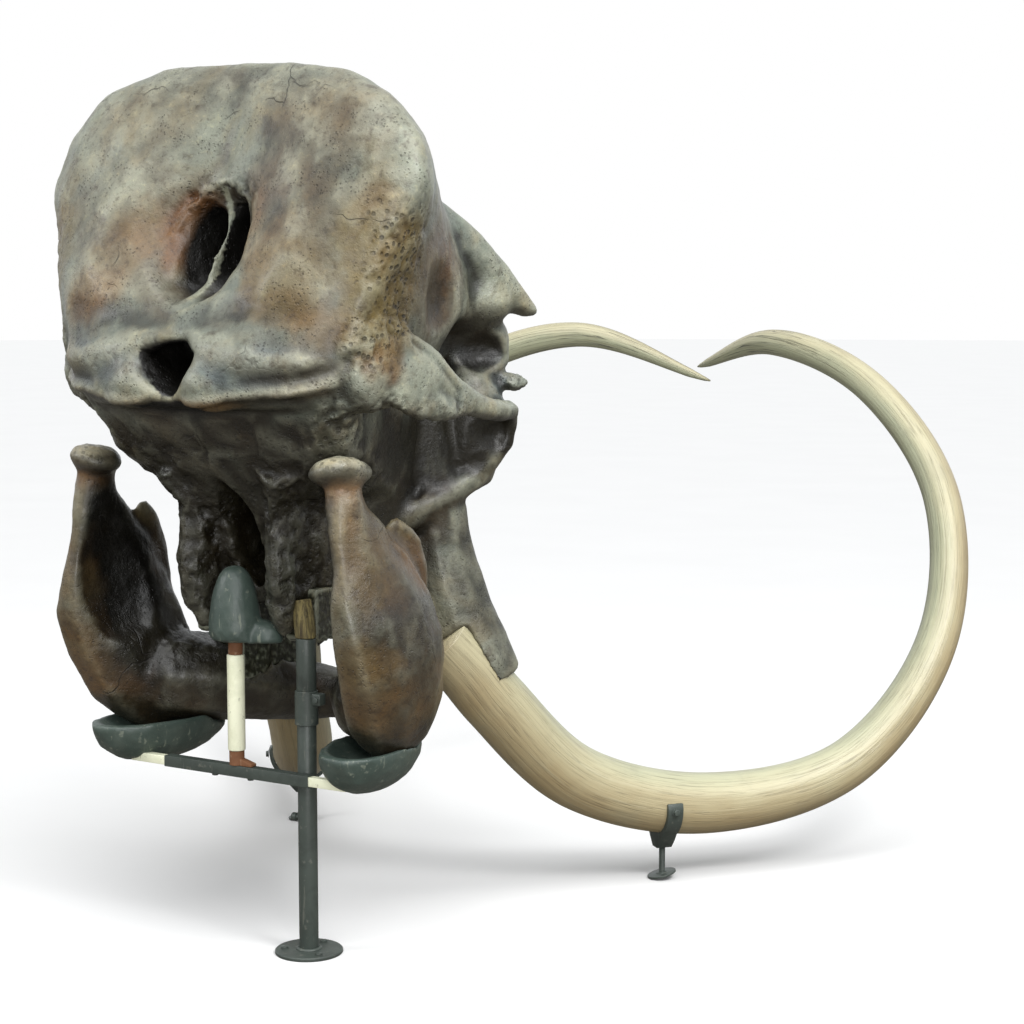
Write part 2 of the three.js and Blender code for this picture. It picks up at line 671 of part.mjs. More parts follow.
piece("cranium", cranium, BONE);
piece("mandible", jaw, JAW_BONE);
both((hand) => {
  const side = (hand + 1) / 2;
  piece(names("tusk")[side], tusks[side], IVORY);
  piece(names("upper_molar")[side], upperMolar(hand), ENAMEL);
  piece(names("lower_molar")[side], lowerMolar(hand), ENAMEL);
  piece(names("jaw_cradle")[side], cradles[side], PADDING);
  piece(names("cradle_arm")[side], cradleArm(hand, cradles[side]), CREAM);
  piece(names("tusk_saddle")[side], saddles[side], STEEL);
  piece(names("saddle_bolt")[side], saddleBolt(hand), STEEL);
  piece(names("tusk_foot")[side], feet[side], STEEL);
  piece(names("tusk_rod")[side], tuskRod(hand, feet[side], saddles[side]), STEEL);
});
piece("floor_flange", floorFlange(), STEEL);
piece("main_post", mainPost(), STEEL);
piece("post_sleeve", postSleeve(), STEEL);
piece("upper_post", rod(POST_X, 0, SLEEVE_TOP + TOUCH, UPPER_POST_TOP, UPPER_POST_R), STEEL);
piece("head_wedge", headWedge(), WOOD);
piece("thumb_screw", bolt(vec(POST_X + POST_R + TOUCH, 0, 300), ACROSS, 20, 9), STEEL);
piece("cross_bar", crossBar(), STEEL);
piece("bar_screw_1", rod(62, BAR_Y, BAR_Z - BAR_SIZE / 2 - 6, BAR_Z - BAR_SIZE / 2 - TOUCH, 8, 12), STEEL);
piece("bar_screw_2", rod(-38, BAR_Y, BAR_Z - BAR_SIZE / 2 - 6, BAR_Z - BAR_SIZE / 2 - TOUCH, 8, 12), STEEL);
piece("prop_ferrule_lower", lowerFerrule(), RUST);
piece("prop_tube", propTube(), CREAM);
piece("prop_ferrule_upper", upperFerrule(), RUST);
piece("prop_pad", propPad(), PADDING);

const part = new THREE.Group();
part.add(skull);
export default part;
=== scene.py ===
"""Fossil mammoth skull on its steel mount: the finished look of every piece."""

import itertools
import logging
import math
from dataclasses import dataclass, field
from enum import Enum

import bmesh
import bpy
import numpy as np
from mathutils import Matrix, Vector


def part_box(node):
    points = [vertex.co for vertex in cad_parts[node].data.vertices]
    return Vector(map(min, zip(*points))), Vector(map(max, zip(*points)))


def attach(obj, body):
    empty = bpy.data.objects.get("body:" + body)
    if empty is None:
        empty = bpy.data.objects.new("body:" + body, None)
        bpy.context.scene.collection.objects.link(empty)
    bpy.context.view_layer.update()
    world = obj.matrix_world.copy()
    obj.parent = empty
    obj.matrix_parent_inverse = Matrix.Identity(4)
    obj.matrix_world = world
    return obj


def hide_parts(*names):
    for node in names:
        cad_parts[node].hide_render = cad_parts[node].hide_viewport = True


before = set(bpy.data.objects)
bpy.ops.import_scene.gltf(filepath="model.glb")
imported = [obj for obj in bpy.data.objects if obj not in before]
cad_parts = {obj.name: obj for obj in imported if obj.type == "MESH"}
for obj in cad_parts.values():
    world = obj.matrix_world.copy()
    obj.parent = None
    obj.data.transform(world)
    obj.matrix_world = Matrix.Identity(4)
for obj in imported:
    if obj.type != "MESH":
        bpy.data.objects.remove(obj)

LOG = logging.getLogger("mammoth")
Point = tuple[float, float, float]
Colour = tuple[float, float, float]
MM = 0.001
UP = Vector((0, 0, 1))
MIDLINE = 168.0  # the skull's plane of symmetry, in mm from the post


# ---- Pigments ------------------------------------------------------------
class Pigment(Enum):
    """Colours that the bone, ivory and stand are stained with, as sRGB."""

    SLATE = (0.400, 0.420, 0.380)
    DOVE = (0.560, 0.575, 0.510)
    CHALK = (0.760, 0.755, 0.670)
    LEAD = (0.330, 0.360, 0.365)
    ROSE = (0.388, 0.330, 0.245)
    WALNUT = (0.290, 0.225, 0.145)
    RUST = (0.372, 0.238, 0.112)
    TAWNY = (0.440, 0.335, 0.185)
    PEAT = (0.095, 0.082, 0.034)
    TERRACOTTA = (0.460, 0.335, 0.212)
    OCHRE = (0.400, 0.338, 0.180)
    BARK = (0.245, 0.205, 0.120)
    HORN = (0.430, 0.395, 0.290)
    UMBER = (0.132, 0.102, 0.050)
    PITCH = (0.027, 0.023, 0.013)
    LICHEN = (0.160, 0.165, 0.110)
    MOSS = (0.630, 0.655, 0.550)
    STRAW = (0.730, 0.700, 0.570)
    GOLD = (0.600, 0.495, 0.330)
    CREAM = (0.860, 0.850, 0.720)

    @property
    def linear(self) -> Colour:
        """The pigment as scene-linear light."""
        return linear(self.value)


def linear(colour: Colour) -> Colour:
    """Turns an sRGB colour into scene-linear light.

    Args:
        colour: red, green and blue from 0 to 1.

    Returns:
        The same colour as linear values.
    """
    return tuple(c / 12.92 if c <= 0.04045 else ((c + 0.055) / 1.055) ** 2.4 for c in colour)


class Side(Enum):
    """The animal's right and left, by the sign of X."""

    RIGHT = -1
    LEFT = 1

    @property
    def label(self) -> str:
        """The side's name as the pieces carry it."""
        return self.name.lower()


# ---- Materials -----------------------------------------------------------
class NodeSheet:
    """One material's node tree, with a short call for each kind of node."""

    def __init__(self, name: str) -> None:
        """Starts a material with an empty tree and a principled shader.

        Args:
            name: name of the new material.
        """
        self.material = bpy.data.materials.new(name)
        self.material.use_nodes = True
        self.tree = self.material.node_tree
        self.tree.nodes.clear()
        output = self.tree.nodes.new("ShaderNodeOutputMaterial")
        self.shader = self.tree.nodes.new("ShaderNodeBsdfPrincipled")
        self.link(self.shader.outputs[0], output.inputs[0])
        self.place = self.tree.nodes.new("ShaderNodeTexCoord").outputs["Object"]

    def link(self, source: bpy.types.NodeSocket, target: bpy.types.NodeSocket) -> None:
        """Joins two sockets."""
        self.tree.links.new(source, target)

    def feed(self, socket: bpy.types.NodeSocket, value: object) -> None:
        """Gives a socket a number or colour, or links it to another socket.

        Args:
            socket: the input to fill.
            value: a socket, a number or a colour.
        """
        if isinstance(value, bpy.types.NodeSocket):
            self.link(value, socket)
        elif isinstance(value, tuple) and len(value) == 3 and socket.type == "RGBA":
            socket.default_value = (*value, 1.0)
        else:
            socket.default_value = value

    def stretched(self, scale: Point) -> bpy.types.NodeSocket:
        """The object coordinates, stretched along the axes.

        Args:
            scale: factor along X, Y and Z.

        Returns:
            The stretched coordinates.
        """
        node = self.tree.nodes.new("ShaderNodeMapping")
        node.inputs["Scale"].default_value = scale
        self.link(self.place, node.inputs["Vector"])
        return node.outputs[0]

    def noise(
        self,
        scale: float,
        detail: float = 4.0,
        rough: float = 0.55,
        warp: float = 0.0,
        place: bpy.types.NodeSocket | None = None,
    ) -> bpy.types.NodeSocket:
        """Cloudy noise from 0 to 1.

        Args:
            scale: waves in a metre.
            detail: octaves.
            rough: share that each octave keeps.
            warp: distortion of the pattern.
            place: coordinates, or None for the object's own.

        Returns:
            The noise value.
        """
        node = self.tree.nodes.new("ShaderNodeTexNoise")
        node.inputs["Scale"].default_value = scale
        node.inputs["Detail"].default_value = detail
        node.inputs["Roughness"].default_value = rough
        node.inputs["Distortion"].default_value = warp
        self.link(place or self.place, node.inputs["Vector"])
        return node.outputs["Fac"]

    def cells(
        self, scale: float, feature: str = "F1", place: bpy.types.NodeSocket | None = None
    ) -> bpy.types.NodeSocket:
        """Distance to scattered points, or to the borders between them.

        Args:
            scale: cells in a metre.
            feature: F1, SMOOTH_F1 or DISTANCE_TO_EDGE.
            place: coordinates, or None for the object's own.

        Returns:
            The distance.
        """
        node = self.tree.nodes.new("ShaderNodeTexVoronoi")
        node.feature = feature
        node.inputs["Scale"].default_value = scale
        self.link(place or self.place, node.inputs["Vector"])
        return node.outputs["Distance"]

    def warped(self, scale: float, amount: float) -> bpy.types.NodeSocket:
        """The object coordinates, pushed about by noise.

        Args:
            scale: waves of the noise in a metre.
            amount: how far a point moves, in metres.

        Returns:
            The pushed coordinates.
        """
        node = self.tree.nodes.new("ShaderNodeTexNoise")
        node.inputs["Scale"].default_value = scale
        node.inputs["Detail"].default_value = 3.0
        self.link(self.place, node.inputs["Vector"])
        push = self.tree.nodes.new("ShaderNodeVectorMath")
        push.operation = "MULTIPLY_ADD"
        self.link(node.outputs["Color"], push.inputs[0])
        push.inputs[1].default_value = (amount,) * 3
        self.link(self.place, push.inputs[2])
        return push.outputs[0]

    def ramp(self, value: bpy.types.NodeSocket, low: float, high: float) -> bpy.types.NodeSocket:
        """Maps low..high of a value to 0..1, held at both ends.

        Args:
            value: what is mapped.
            low: value that gives 0.
            high: value that gives 1.

        Returns:
            The mapped value.
        """
        node = self.tree.nodes.new("ShaderNodeMapRange")
        node.interpolation_type = "SMOOTHSTEP"
        self.link(value, node.inputs["Value"])
        node.inputs["From Min"].default_value = low
        node.inputs["From Max"].default_value = high
        return node.outputs[0]

    def math(self, operation: str, first: object, second: object = 0.0) -> bpy.types.NodeSocket:
        """Arithmetic on two values.

        Args:
            operation: Blender's name of the operation.
            first: a socket or a number.
            second: a socket or a number.

        Returns:
            The result.
        """
        node = self.tree.nodes.new("ShaderNodeMath")
        node.operation = operation
        self.feed(node.inputs[0], first)
        self.feed(node.inputs[1], second)
        return node.outputs[0]

    def mix(
        self, share: object, base: object, over: object, blend: str = "MIX"
    ) -> bpy.types.NodeSocket:
        """Lays one colour over another.

        Args:
            share: how much of the second colour shows.
            base: colour beneath.
            over: colour on top.
            blend: Blender's name of the blend mode.

        Returns:
            The mixed colour.
        """
        node = self.tree.nodes.new("ShaderNodeMix")
        node.data_type = "RGBA"
        node.blend_type = blend
        self.feed(node.inputs[0], share)
        self.feed(node.inputs[6], base)
        self.feed(node.inputs[7], over)
        return node.outputs[2]

    def attribute(self, name: str) -> bpy.types.Node:
        """The node that reads one of the mesh's own attributes."""
        node = self.tree.nodes.new("ShaderNodeAttribute")
        node.attribute_name = name
        return node

    def bump(
        self, height: bpy.types.NodeSocket, depth: float, over: bpy.types.NodeSocket | None = None
    ) -> bpy.types.NodeSocket:
        """Relief from a height.

        Args:
            height: the height, 0 to 1.
            depth: metres that a height of 1 stands up.
            over: relief that this one lies on.

        Returns:
            The normal.
        """
        node = self.tree.nodes.new("ShaderNodeBump")
        node.inputs["Distance"].default_value = depth
        self.link(height, node.inputs["Height"])
        if over is not None:
            self.link(over, node.inputs["Normal"])
        return node.outputs[0]

    def finish(
        self, colour: object, roughness: object, normal: bpy.types.NodeSocket | None = None
    ) -> bpy.types.Material:
        """Feeds the shader.

        Args:
            colour: base colour.
            roughness: roughness.
            normal: relief.

        Returns:
            The finished material.
        """
        self.feed(self.shader.inputs["Base Color"], colour)
        self.feed(self.shader.inputs["Roughness"], roughness)
        if normal is not None:
            self.link(normal, self.shader.inputs["Normal"])
        return self.material


@dataclass(frozen=True)
class BoneFinish:
    """Mineralised bone: stained, pored and cracked, with a satin sheen."""

    name: str
    shine: float = 0.34
    relief: float = 1.0
    coat: float = 0.25

    def material(self) -> bpy.types.Material:
        """Builds the material over the painted tint and the porous mask."""
        sheet = NodeSheet(self.name)
        tint = sheet.attribute("tint").outputs["Color"]
        porous = sheet.attribute("porous").outputs["Fac"]
        cloud = sheet.noise(6.0, 6.0, 0.6, 0.5)
        mottle = sheet.noise(22.0, 7.0, 0.62, 0.3)
        speck = sheet.noise(85.0, 5.0, 0.6)
        colour = tint
        for height, low, high, share, tinge in (
            (cloud, 0.47, 0.68, 0.55, (0.92, 0.72, 0.50)),
            (cloud, 0.46, 0.30, 0.50, (1.10, 1.22, 1.22)),
            (mottle, 0.54, 0.74, 0.55, (1.45, 1.42, 1.32)),
            (mottle, 0.48, 0.28, 0.75, (0.36, 0.30, 0.25)),
            (speck, 0.56, 0.74, 0.50, (1.70, 1.60, 1.40)),
            (speck, 0.46, 0.30, 0.60, (0.34, 0.30, 0.27)),
        ):
            worn = sheet.mix(1.0, colour, tinge, "MULTIPLY")
            colour = sheet.mix(sheet.math("MULTIPLY", sheet.ramp(height, low, high), share), colour, worn)
        dark = self.pits(sheet, porous)
        colour = sheet.mix(sheet.math("MULTIPLY", dark, 0.85), colour, (0.010, 0.008, 0.006))
        normal = sheet.bump(sheet.noise(34.0, 8.0, 0.60, 0.2), 0.0050 * self.relief)
        normal = sheet.bump(speck, 0.0016 * self.relief, normal)
        normal = sheet.bump(sheet.noise(420.0, 4.0, 0.6), 0.0005 * self.relief, normal)
        normal = sheet.bump(sheet.math("SUBTRACT", 1.0, dark), 0.0045 * self.relief, normal)
        satin = sheet.math("MULTIPLY", sheet.ramp(mottle, 0.3, 0.7), 0.20)
        rough = sheet.math("ADD", sheet.math("ADD", satin, self.shine), sheet.math("MULTIPLY", dark, 0.35))
        sheet.shader.inputs["Specular IOR Level"].default_value = 0.38
        sheet.shader.inputs["Coat Weight"].default_value = self.coat
        sheet.shader.inputs["Coat Roughness"].default_value = 0.30
        return sheet.finish(colour, rough, normal)

    def pits(self, sheet: NodeSheet, porous: bpy.types.NodeSocket) -> bpy.types.NodeSocket:
        """Pores, open cells and thin cracks.

        Args:
            sheet: the material's tree.
            porous: how open the bone is.

        Returns:
            A mask, 1 in the holes.
        """
        place = sheet.warped(60.0, 0.006)
        pores = sheet.ramp(sheet.cells(120.0, "F1", place), 0.34, 0.12)
        pores = sheet.math("MULTIPLY", pores, sheet.ramp(sheet.noise(17.0, 4.0), 0.46, 0.64))
        holes = sheet.ramp(sheet.cells(62.0, "F1", place), 0.40, 0.16)
        holes = sheet.math("MULTIPLY", holes, porous)
        cracks = sheet.ramp(sheet.cells(3.6, "DISTANCE_TO_EDGE", sheet.warped(9.0, 0.12)), 0.010, 0.001)
        cracks = sheet.math("MULTIPLY", cracks, sheet.ramp(sheet.noise(4.5, 3.0), 0.54, 0.64))
        dark = sheet.math("MAXIMUM", sheet.math("MULTIPLY", pores, 0.45), holes)
        return sheet.math("MAXIMUM", dark, sheet.math("MULTIPLY", cracks, 0.6))


@dataclass(frozen=True)
class IvoryFinish:
    """Old tusk ivory: long scratches, fine cracks and a soft polish."""

    name: str

    def material(self) -> bpy.types.Material:
        """Builds the material over the painted tint, along the tusk's own grain."""
        sheet = NodeSheet(self.name)
        tint = sheet.attribute("tint").outputs["Color"]
        grain = sheet.attribute("grain").outputs["Vector"]
        split = sheet.attribute("porous").outputs["Fac"]
        streak = sheet.noise(34.0, 7.0, 0.65, 0.1, grain)
        hair = sheet.noise(120.0, 5.0, 0.6, 0.1, grain)
        cloud = sheet.noise(9.0, 5.0, 0.6, 0.3)
        colour = sheet.mix(
            sheet.math("MULTIPLY", sheet.ramp(streak, 0.54, 0.76), 0.40), tint, (0.60, 0.57, 0.40), "MIX"
        )
        colour = sheet.mix(
            sheet.math("MULTIPLY", sheet.ramp(streak, 0.48, 0.27), 0.42), colour, (0.19, 0.15, 0.085), "MIX"
        )
        colour = sheet.mix(
            sheet.math("MULTIPLY", sheet.ramp(hair, 0.46, 0.32), 0.45), colour, (0.13, 0.11, 0.07), "MIX"
        )
        colour = sheet.mix(
            sheet.math("MULTIPLY", sheet.ramp(cloud, 0.50, 0.72), 0.22), colour, (0.27, 0.26, 0.18), "MIX"
        )
        crack = sheet.ramp(sheet.noise(22.0, 3.0, 0.5, 0.2, grain), 0.50, 0.515)
        edge = sheet.ramp(sheet.noise(22.0, 3.0, 0.5, 0.2, grain), 0.53, 0.515)
        crack = sheet.math("MULTIPLY", sheet.math("MULTIPLY", crack, edge), split)
        colour = sheet.mix(sheet.math("MULTIPLY", crack, 0.9), colour, (0.02, 0.017, 0.012), "MIX")
        normal = sheet.bump(streak, 0.0022)
        normal = sheet.bump(hair, 0.0006, normal)
        normal = sheet.bump(sheet.math("SUBTRACT", 1.0, crack), 0.003, normal)
        rough = sheet.math("ADD", sheet.math("MULTIPLY", streak, 0.25), 0.24)
        sheet.shader.inputs["Specular IOR Level"].default_value = 0.5
        sheet.shader.inputs["Coat Weight"].default_value = 0.12
        sheet.shader.inputs["Coat Roughness"].default_value = 0.35
        return sheet.finish(colour, rough, normal)


@dataclass(frozen=True)
class PaintFinish:
    """Painted or rusted steel with worn, dusty patches."""

    name: str
    base: Colour
    worn: Colour
    stain: Colour
    wear: float = 0.35
    roughness: float = 0.42
    relief: float = 0.0006

    def material(self) -> bpy.types.Material:
        """Builds the paint with its wear, stain and orange-peel relief."""
        sheet = NodeSheet(self.name)
        cloud = sheet.noise(14.0, 6.0, 0.65, 0.4)
        patch = sheet.noise(55.0, 6.0, 0.6, 0.2)
        peel = sheet.noise(420.0, 3.0, 0.5)
        scratch = sheet.noise(9.0, 4.0, 0.6, 0.3, sheet.stretched((9.0, 9.0, 1.0)))
        colour = sheet.mix(
            sheet.math("MULTIPLY", sheet.ramp(cloud, 0.42, 0.72), 0.6), linear(self.base), linear(self.stain)
        )
        worn = sheet.math("MULTIPLY", sheet.ramp(patch, 0.60, 0.70), self.wear)
        worn = sheet.math("MAXIMUM", worn, sheet.math("MULTIPLY", sheet.ramp(scratch, 0.63, 0.70), self.wear))
        colour = sheet.mix(worn, colour, linear(self.worn))
        normal = sheet.bump(patch, self.relief)
        normal = sheet.bump(peel, self.relief * 0.35, normal)
        rough = sheet.math("ADD", sheet.math("MULTIPLY", patch, 0.25), self.roughness - 0.1)
        return sheet.finish(colour, rough, normal)


@dataclass(frozen=True)
class WoodFinish:
    """Rough split wood, olive brown, with the grain upright."""

    name: str

    def material(self) -> bpy.types.Material:
        """Builds the wood with its upright grain."""
        sheet = NodeSheet(self.name)
        along = sheet.stretched((1.0, 1.0, 0.12))
        grain = sheet.noise(160.0, 6.0, 0.65, 0.6, along)
        ring = sheet.noise(45.0, 4.0, 0.5, 0.8, along)
        dark, pale, knot = linear((0.24, 0.21, 0.12)), linear((0.50, 0.45, 0.28)), linear((0.20, 0.15, 0.08))
        colour = sheet.mix(sheet.ramp(grain, 0.35, 0.65), dark, pale)
        colour = sheet.mix(sheet.math("MULTIPLY", sheet.ramp(ring, 0.5, 0.7), 0.5), colour, knot)
        normal = sheet.bump(grain, 0.0025)
        return sheet.finish(colour, 0.75, normal)


# ---- Modelling helpers ---------------------------------------------------
def alone(piece: bpy.types.Object) -> None:
    """Selects one piece and nothing else."""
    bpy.ops.object.select_all(action="DESELECT")
    piece.select_set(True)
    bpy.context.view_layer.objects.active = piece


def named(name: str) -> bpy.types.Object:
    """Names the piece that was just added, and its mesh."""
    piece = bpy.context.object
    piece.name = name
    piece.data.name = name
    return piece


def settle(piece: bpy.types.Object) -> bpy.types.Object:
    """Puts a piece's place into its mesh, so that its object stands at the origin."""
    alone(piece)
    bpy.ops.object.transform_apply(location=True, rotation=True, scale=True)
    return piece


def modified(piece: bpy.types.Object, kind: str, **values: object) -> bpy.types.Object:
    """Adds a modifier and applies it.

    Args:
        piece: the piece.
        kind: Blender's name of the modifier.
        **values: the modifier's settings.

    Returns:
        The piece.
    """
    alone(piece)
    bpy.ops.object.modifier_add(type=kind)
    tool = piece.modifiers[-1]
    for key, value in values.items():
        setattr(tool, key, value)
    bpy.ops.object.modifier_apply(modifier=tool.name)
    return piece


def rounded(piece: bpy.types.Object, width: float, segments: int = 2) -> bpy.types.Object:
    """Rounds the sharp edges of a piece.

    Args:
        piece: the piece.
        width: size of the rounding, in metres.
        segments: steps across the rounding.

    Returns:
        The piece.
    """
    limit = math.radians(35)
    return modified(piece, "BEVEL", width=width, segments=segments, limit_method="ANGLE", angle_limit=limit)


def smooth(piece: bpy.types.Object, angle: float = 40.0) -> bpy.types.Object:
    """Shades a piece smooth, apart from edges sharper than an angle in degrees."""
    alone(piece)
    bpy.ops.object.shade_smooth_by_angle(angle=math.radians(angle))
    return piece


def outward(piece: bpy.types.Object) -> bpy.types.Object:
    """Merges doubled points and turns every face outwards."""
    alone(piece)
    bpy.ops.object.mode_set(mode="EDIT")
    bpy.ops.mesh.select_all(action="SELECT")
    bpy.ops.mesh.remove_doubles(threshold=1e-5)
    bpy.ops.mesh.normals_make_consistent(inside=False)
    bpy.ops.object.mode_set(mode="OBJECT")
    return piece


def welded(name: str, pieces: list[bpy.types.Object]) -> bpy.types.Object:
    """Joins pieces into one object.

    Args:
        name: name of the joined piece.
        pieces: what is joined.

    Returns:
        The joined piece.
    """
    bpy.ops.object.select_all(action="DESELECT")
    for piece in pieces:
        piece.select_set(True)
    bpy.context.view_layer.objects.active = pieces[0]
    if len(pieces) > 1:
        bpy.ops.object.join()
    return named(name)


def turned(name: str, profile: list[tuple[float, float]], sides: int = 64) -> bpy.types.Object:
    """Turns a closed round piece about Z by extruding and widening a disc, step by step.

    Args:
        name: name of the piece.
        profile: radius and height of each step, in metres, from the bottom up.
        sides: sides of the circle.

    Returns:
        The piece, standing on the axis.
    """
    (radius, height), *steps = profile
    bpy.ops.object.select_all(action="DESELECT")
    bpy.ops.mesh.primitive_circle_add(
        vertices=sides, radius=radius, fill_type="NGON", location=(0, 0, height)
    )
    piece = named(name)
    bpy.ops.object.transform_apply(location=True, rotation=False, scale=False)
    bpy.ops.object.mode_set(mode="EDIT")
    bpy.ops.mesh.select_mode(type="FACE")
    bpy.ops.mesh.select_all(action="SELECT")
    for wide, high in steps:
        bpy.ops.mesh.extrude_region_move(TRANSFORM_OT_translate={"value": (0, 0, high - height)})
        share = wide / radius
        bpy.ops.transform.resize(value=(share, share, 1), center_override=(0, 0, high))
        radius, height = wide, high
    bpy.ops.object.mode_set(mode="OBJECT")
    return outward(piece)


def box(name: str, low: Point, high: Point) -> bpy.types.Object:
    """A box between two corners, in metres.

    Args:
        name: name of the piece.
        low: lowest corner.
        high: highest corner.

    Returns:
        The box.
    """
    size = [b - a for a, b in zip(low, high)]
    centre = [(a + b) / 2 for a, b in zip(low, high)]
    bpy.ops.object.select_all(action="DESELECT")
    bpy.ops.mesh.primitive_cube_add(size=1, location=centre)
    piece = named(name)
    piece.scale = size
    return settle(piece)


def aimed(piece: bpy.types.Object, start: Vector, direction: Vector) -> bpy.types.Object:
    """Carries a piece that stands on the origin along Z to a start and a direction.

    Args:
        piece: the piece.
        start: where its foot goes.
        direction: where its Z axis points.

    Returns:
        The piece, with its place in its mesh.
    """
    turn = Vector((0, 0, 1)).rotation_difference(direction)
    piece.data.transform(Matrix.Translation(start) @ turn.to_matrix().to_4x4())
    piece.data.update()
    return piece


def hex_bolt(name: str, across: float, height: float, shaft: float) -> bpy.types.Object:
    """A hexagon head with a washer, standing on the origin with its shaft below.

    Args:
        name: name of the piece.
        across: radius of the head to its corners.
        height: height of the head.
        shaft: length of the shaft below the washer.

    Returns:
        The bolt.
    """
    profile = [(across * 0.9, 0.0), (across, height * 0.08), (across, height * 0.8), (across * 0.82, height)]
    head = turned("head", profile, 6)
    washer = turned("washer", [(across * 1.25, -height * 0.18), (across * 1.25, 0.0)], 32)
    pin = turned("pin", [(across * 0.5, -shaft), (across * 0.5, -height * 0.18)], 20)
    return welded(name, [rounded(head, height * 0.05), rounded(washer, height * 0.04), pin])


def dress(piece: bpy.types.Object, finish: bpy.types.Material, slot: str, *nodes: str) -> bpy.types.Object:
    """Gives a piece its material and fixes it to the frame.

    Args:
        piece: the piece.
        finish: its material.
        slot: not used.
        *nodes: the solids that it stands for.

    Returns:
        The piece.
    """
    piece.data.materials.clear()
    piece.data.materials.append(finish)
    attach(piece, "root")
    if nodes:
        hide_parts(*nodes)
    return piece


def cast_of(node: str, name: str) -> bpy.types.Object:
    """A merged copy of a solid, ready to be worked on.

    Args:
        node: name of the solid.
        name: name of the copy.

    Returns:
        The copy.
    """
    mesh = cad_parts[node].data.copy()
    mesh.materials.clear()
    piece = bpy.data.objects.new(name, mesh)
    mesh.name = name
    bpy.context.scene.collection.objects.link(piece)
    alone(piece)
    bpy.ops.object.mode_set(mode="EDIT")
    bpy.ops.mesh.select_all(action="SELECT")
    bpy.ops.mesh.remove_doubles(threshold=2e-5)
    bpy.ops.object.mode_set(mode="OBJECT")
    bpy.ops.mesh.customdata_custom_splitnormals_clear()
    return piece


# ---- Clay: sculpting in code ----------------------------------------------
class Grain:
    """Smooth seeded noise over space."""

    def __init__(self, seed: int) -> None:
        """Draws the tables of the noise.

        Args:
            seed: seed of the tables.
        """
        source = np.random.default_rng(seed)
        self.order = np.tile(source.permutation(256), 2)
        slopes = source.normal(size=(256, 3))
        self.slopes = slopes / np.linalg.norm(slopes, axis=1, keepdims=True)

    def at(self, points: np.ndarray, wave: float) -> np.ndarray:
        """The noise at some points, about -0.7 to 0.7.

        Args:
            points: N by 3 places.
            wave: length of one wave, in the same unit.

        Returns:
            N values.
        """
        spot = points / wave
        cell = np.floor(spot).astype(int)
        inside = spot - cell
        fade = inside**3 * (inside * (inside * 6 - 15) + 10)
        total = np.zeros(len(points))
        for corner in itertools.product((0, 1), repeat=3):
            x, y, z = ((cell + corner) & 255).T
            pick = self.order[self.order[self.order[x] + y] + z]
            share = np.prod(np.where(corner, fade, 1 - fade), axis=1)
            total += share * np.einsum("ij,ij->i", self.slopes[pick], inside - corner)
        return total

    def cloud(self, points: np.ndarray, wave: float, octaves: int = 4) -> np.ndarray:
        """Noise with finer waves laid over it, about -1 to 1.

        Args:
            points: N by 3 places.
            wave: length of the longest wave.
            octaves: number of waves, each half as long as the one before.

        Returns:
            N values.
        """
        total = np.zeros(len(points))
        for step in range(octaves):
            total += self.at(points + 31.7 * step, wave / 2**step) / 1.8**step
        return total


@dataclass(frozen=True)
class Lump:
    """A mass of bone that is laid on before the surface is worked, in mm from the midline."""

    centre: Point
    size: Point
    turn: Point = (0.0, 0.0, 0.0)


@dataclass(frozen=True)
class Stroke:
    """A run of the modelling tool along points on the bone, in mm from the midline."""

    points: tuple[Point, ...]
    width: float
    rise: float
    broken: float = 0.35
    paired: bool = True


@dataclass(frozen=True)
class Patch:
    """A patch on the bone, which is a stain, painted shade or a painted highlight: an ellipsoid with an
    irregular border, in mm from the midline.
    """

    centre: Point
    size: Point
    pigment: Pigment
    strength: float = 0.8
    paired: bool = True


@dataclass(frozen=True)
class Streak:
    """A stain, painted shadow or painted highlight along points on the bone, in mm from the midline."""

    points: tuple[Point, ...]
    width: float
    pigment: Pigment
    strength: float = 0.7
    paired: bool = True


@dataclass(frozen=True)
class Rough:
    """A zone of open, broken bone, in mm from the midline."""

    centre: Point
    size: Point
    height: float
    wave: float = 26.0
    porous: float = 0.8
    paired: bool = True


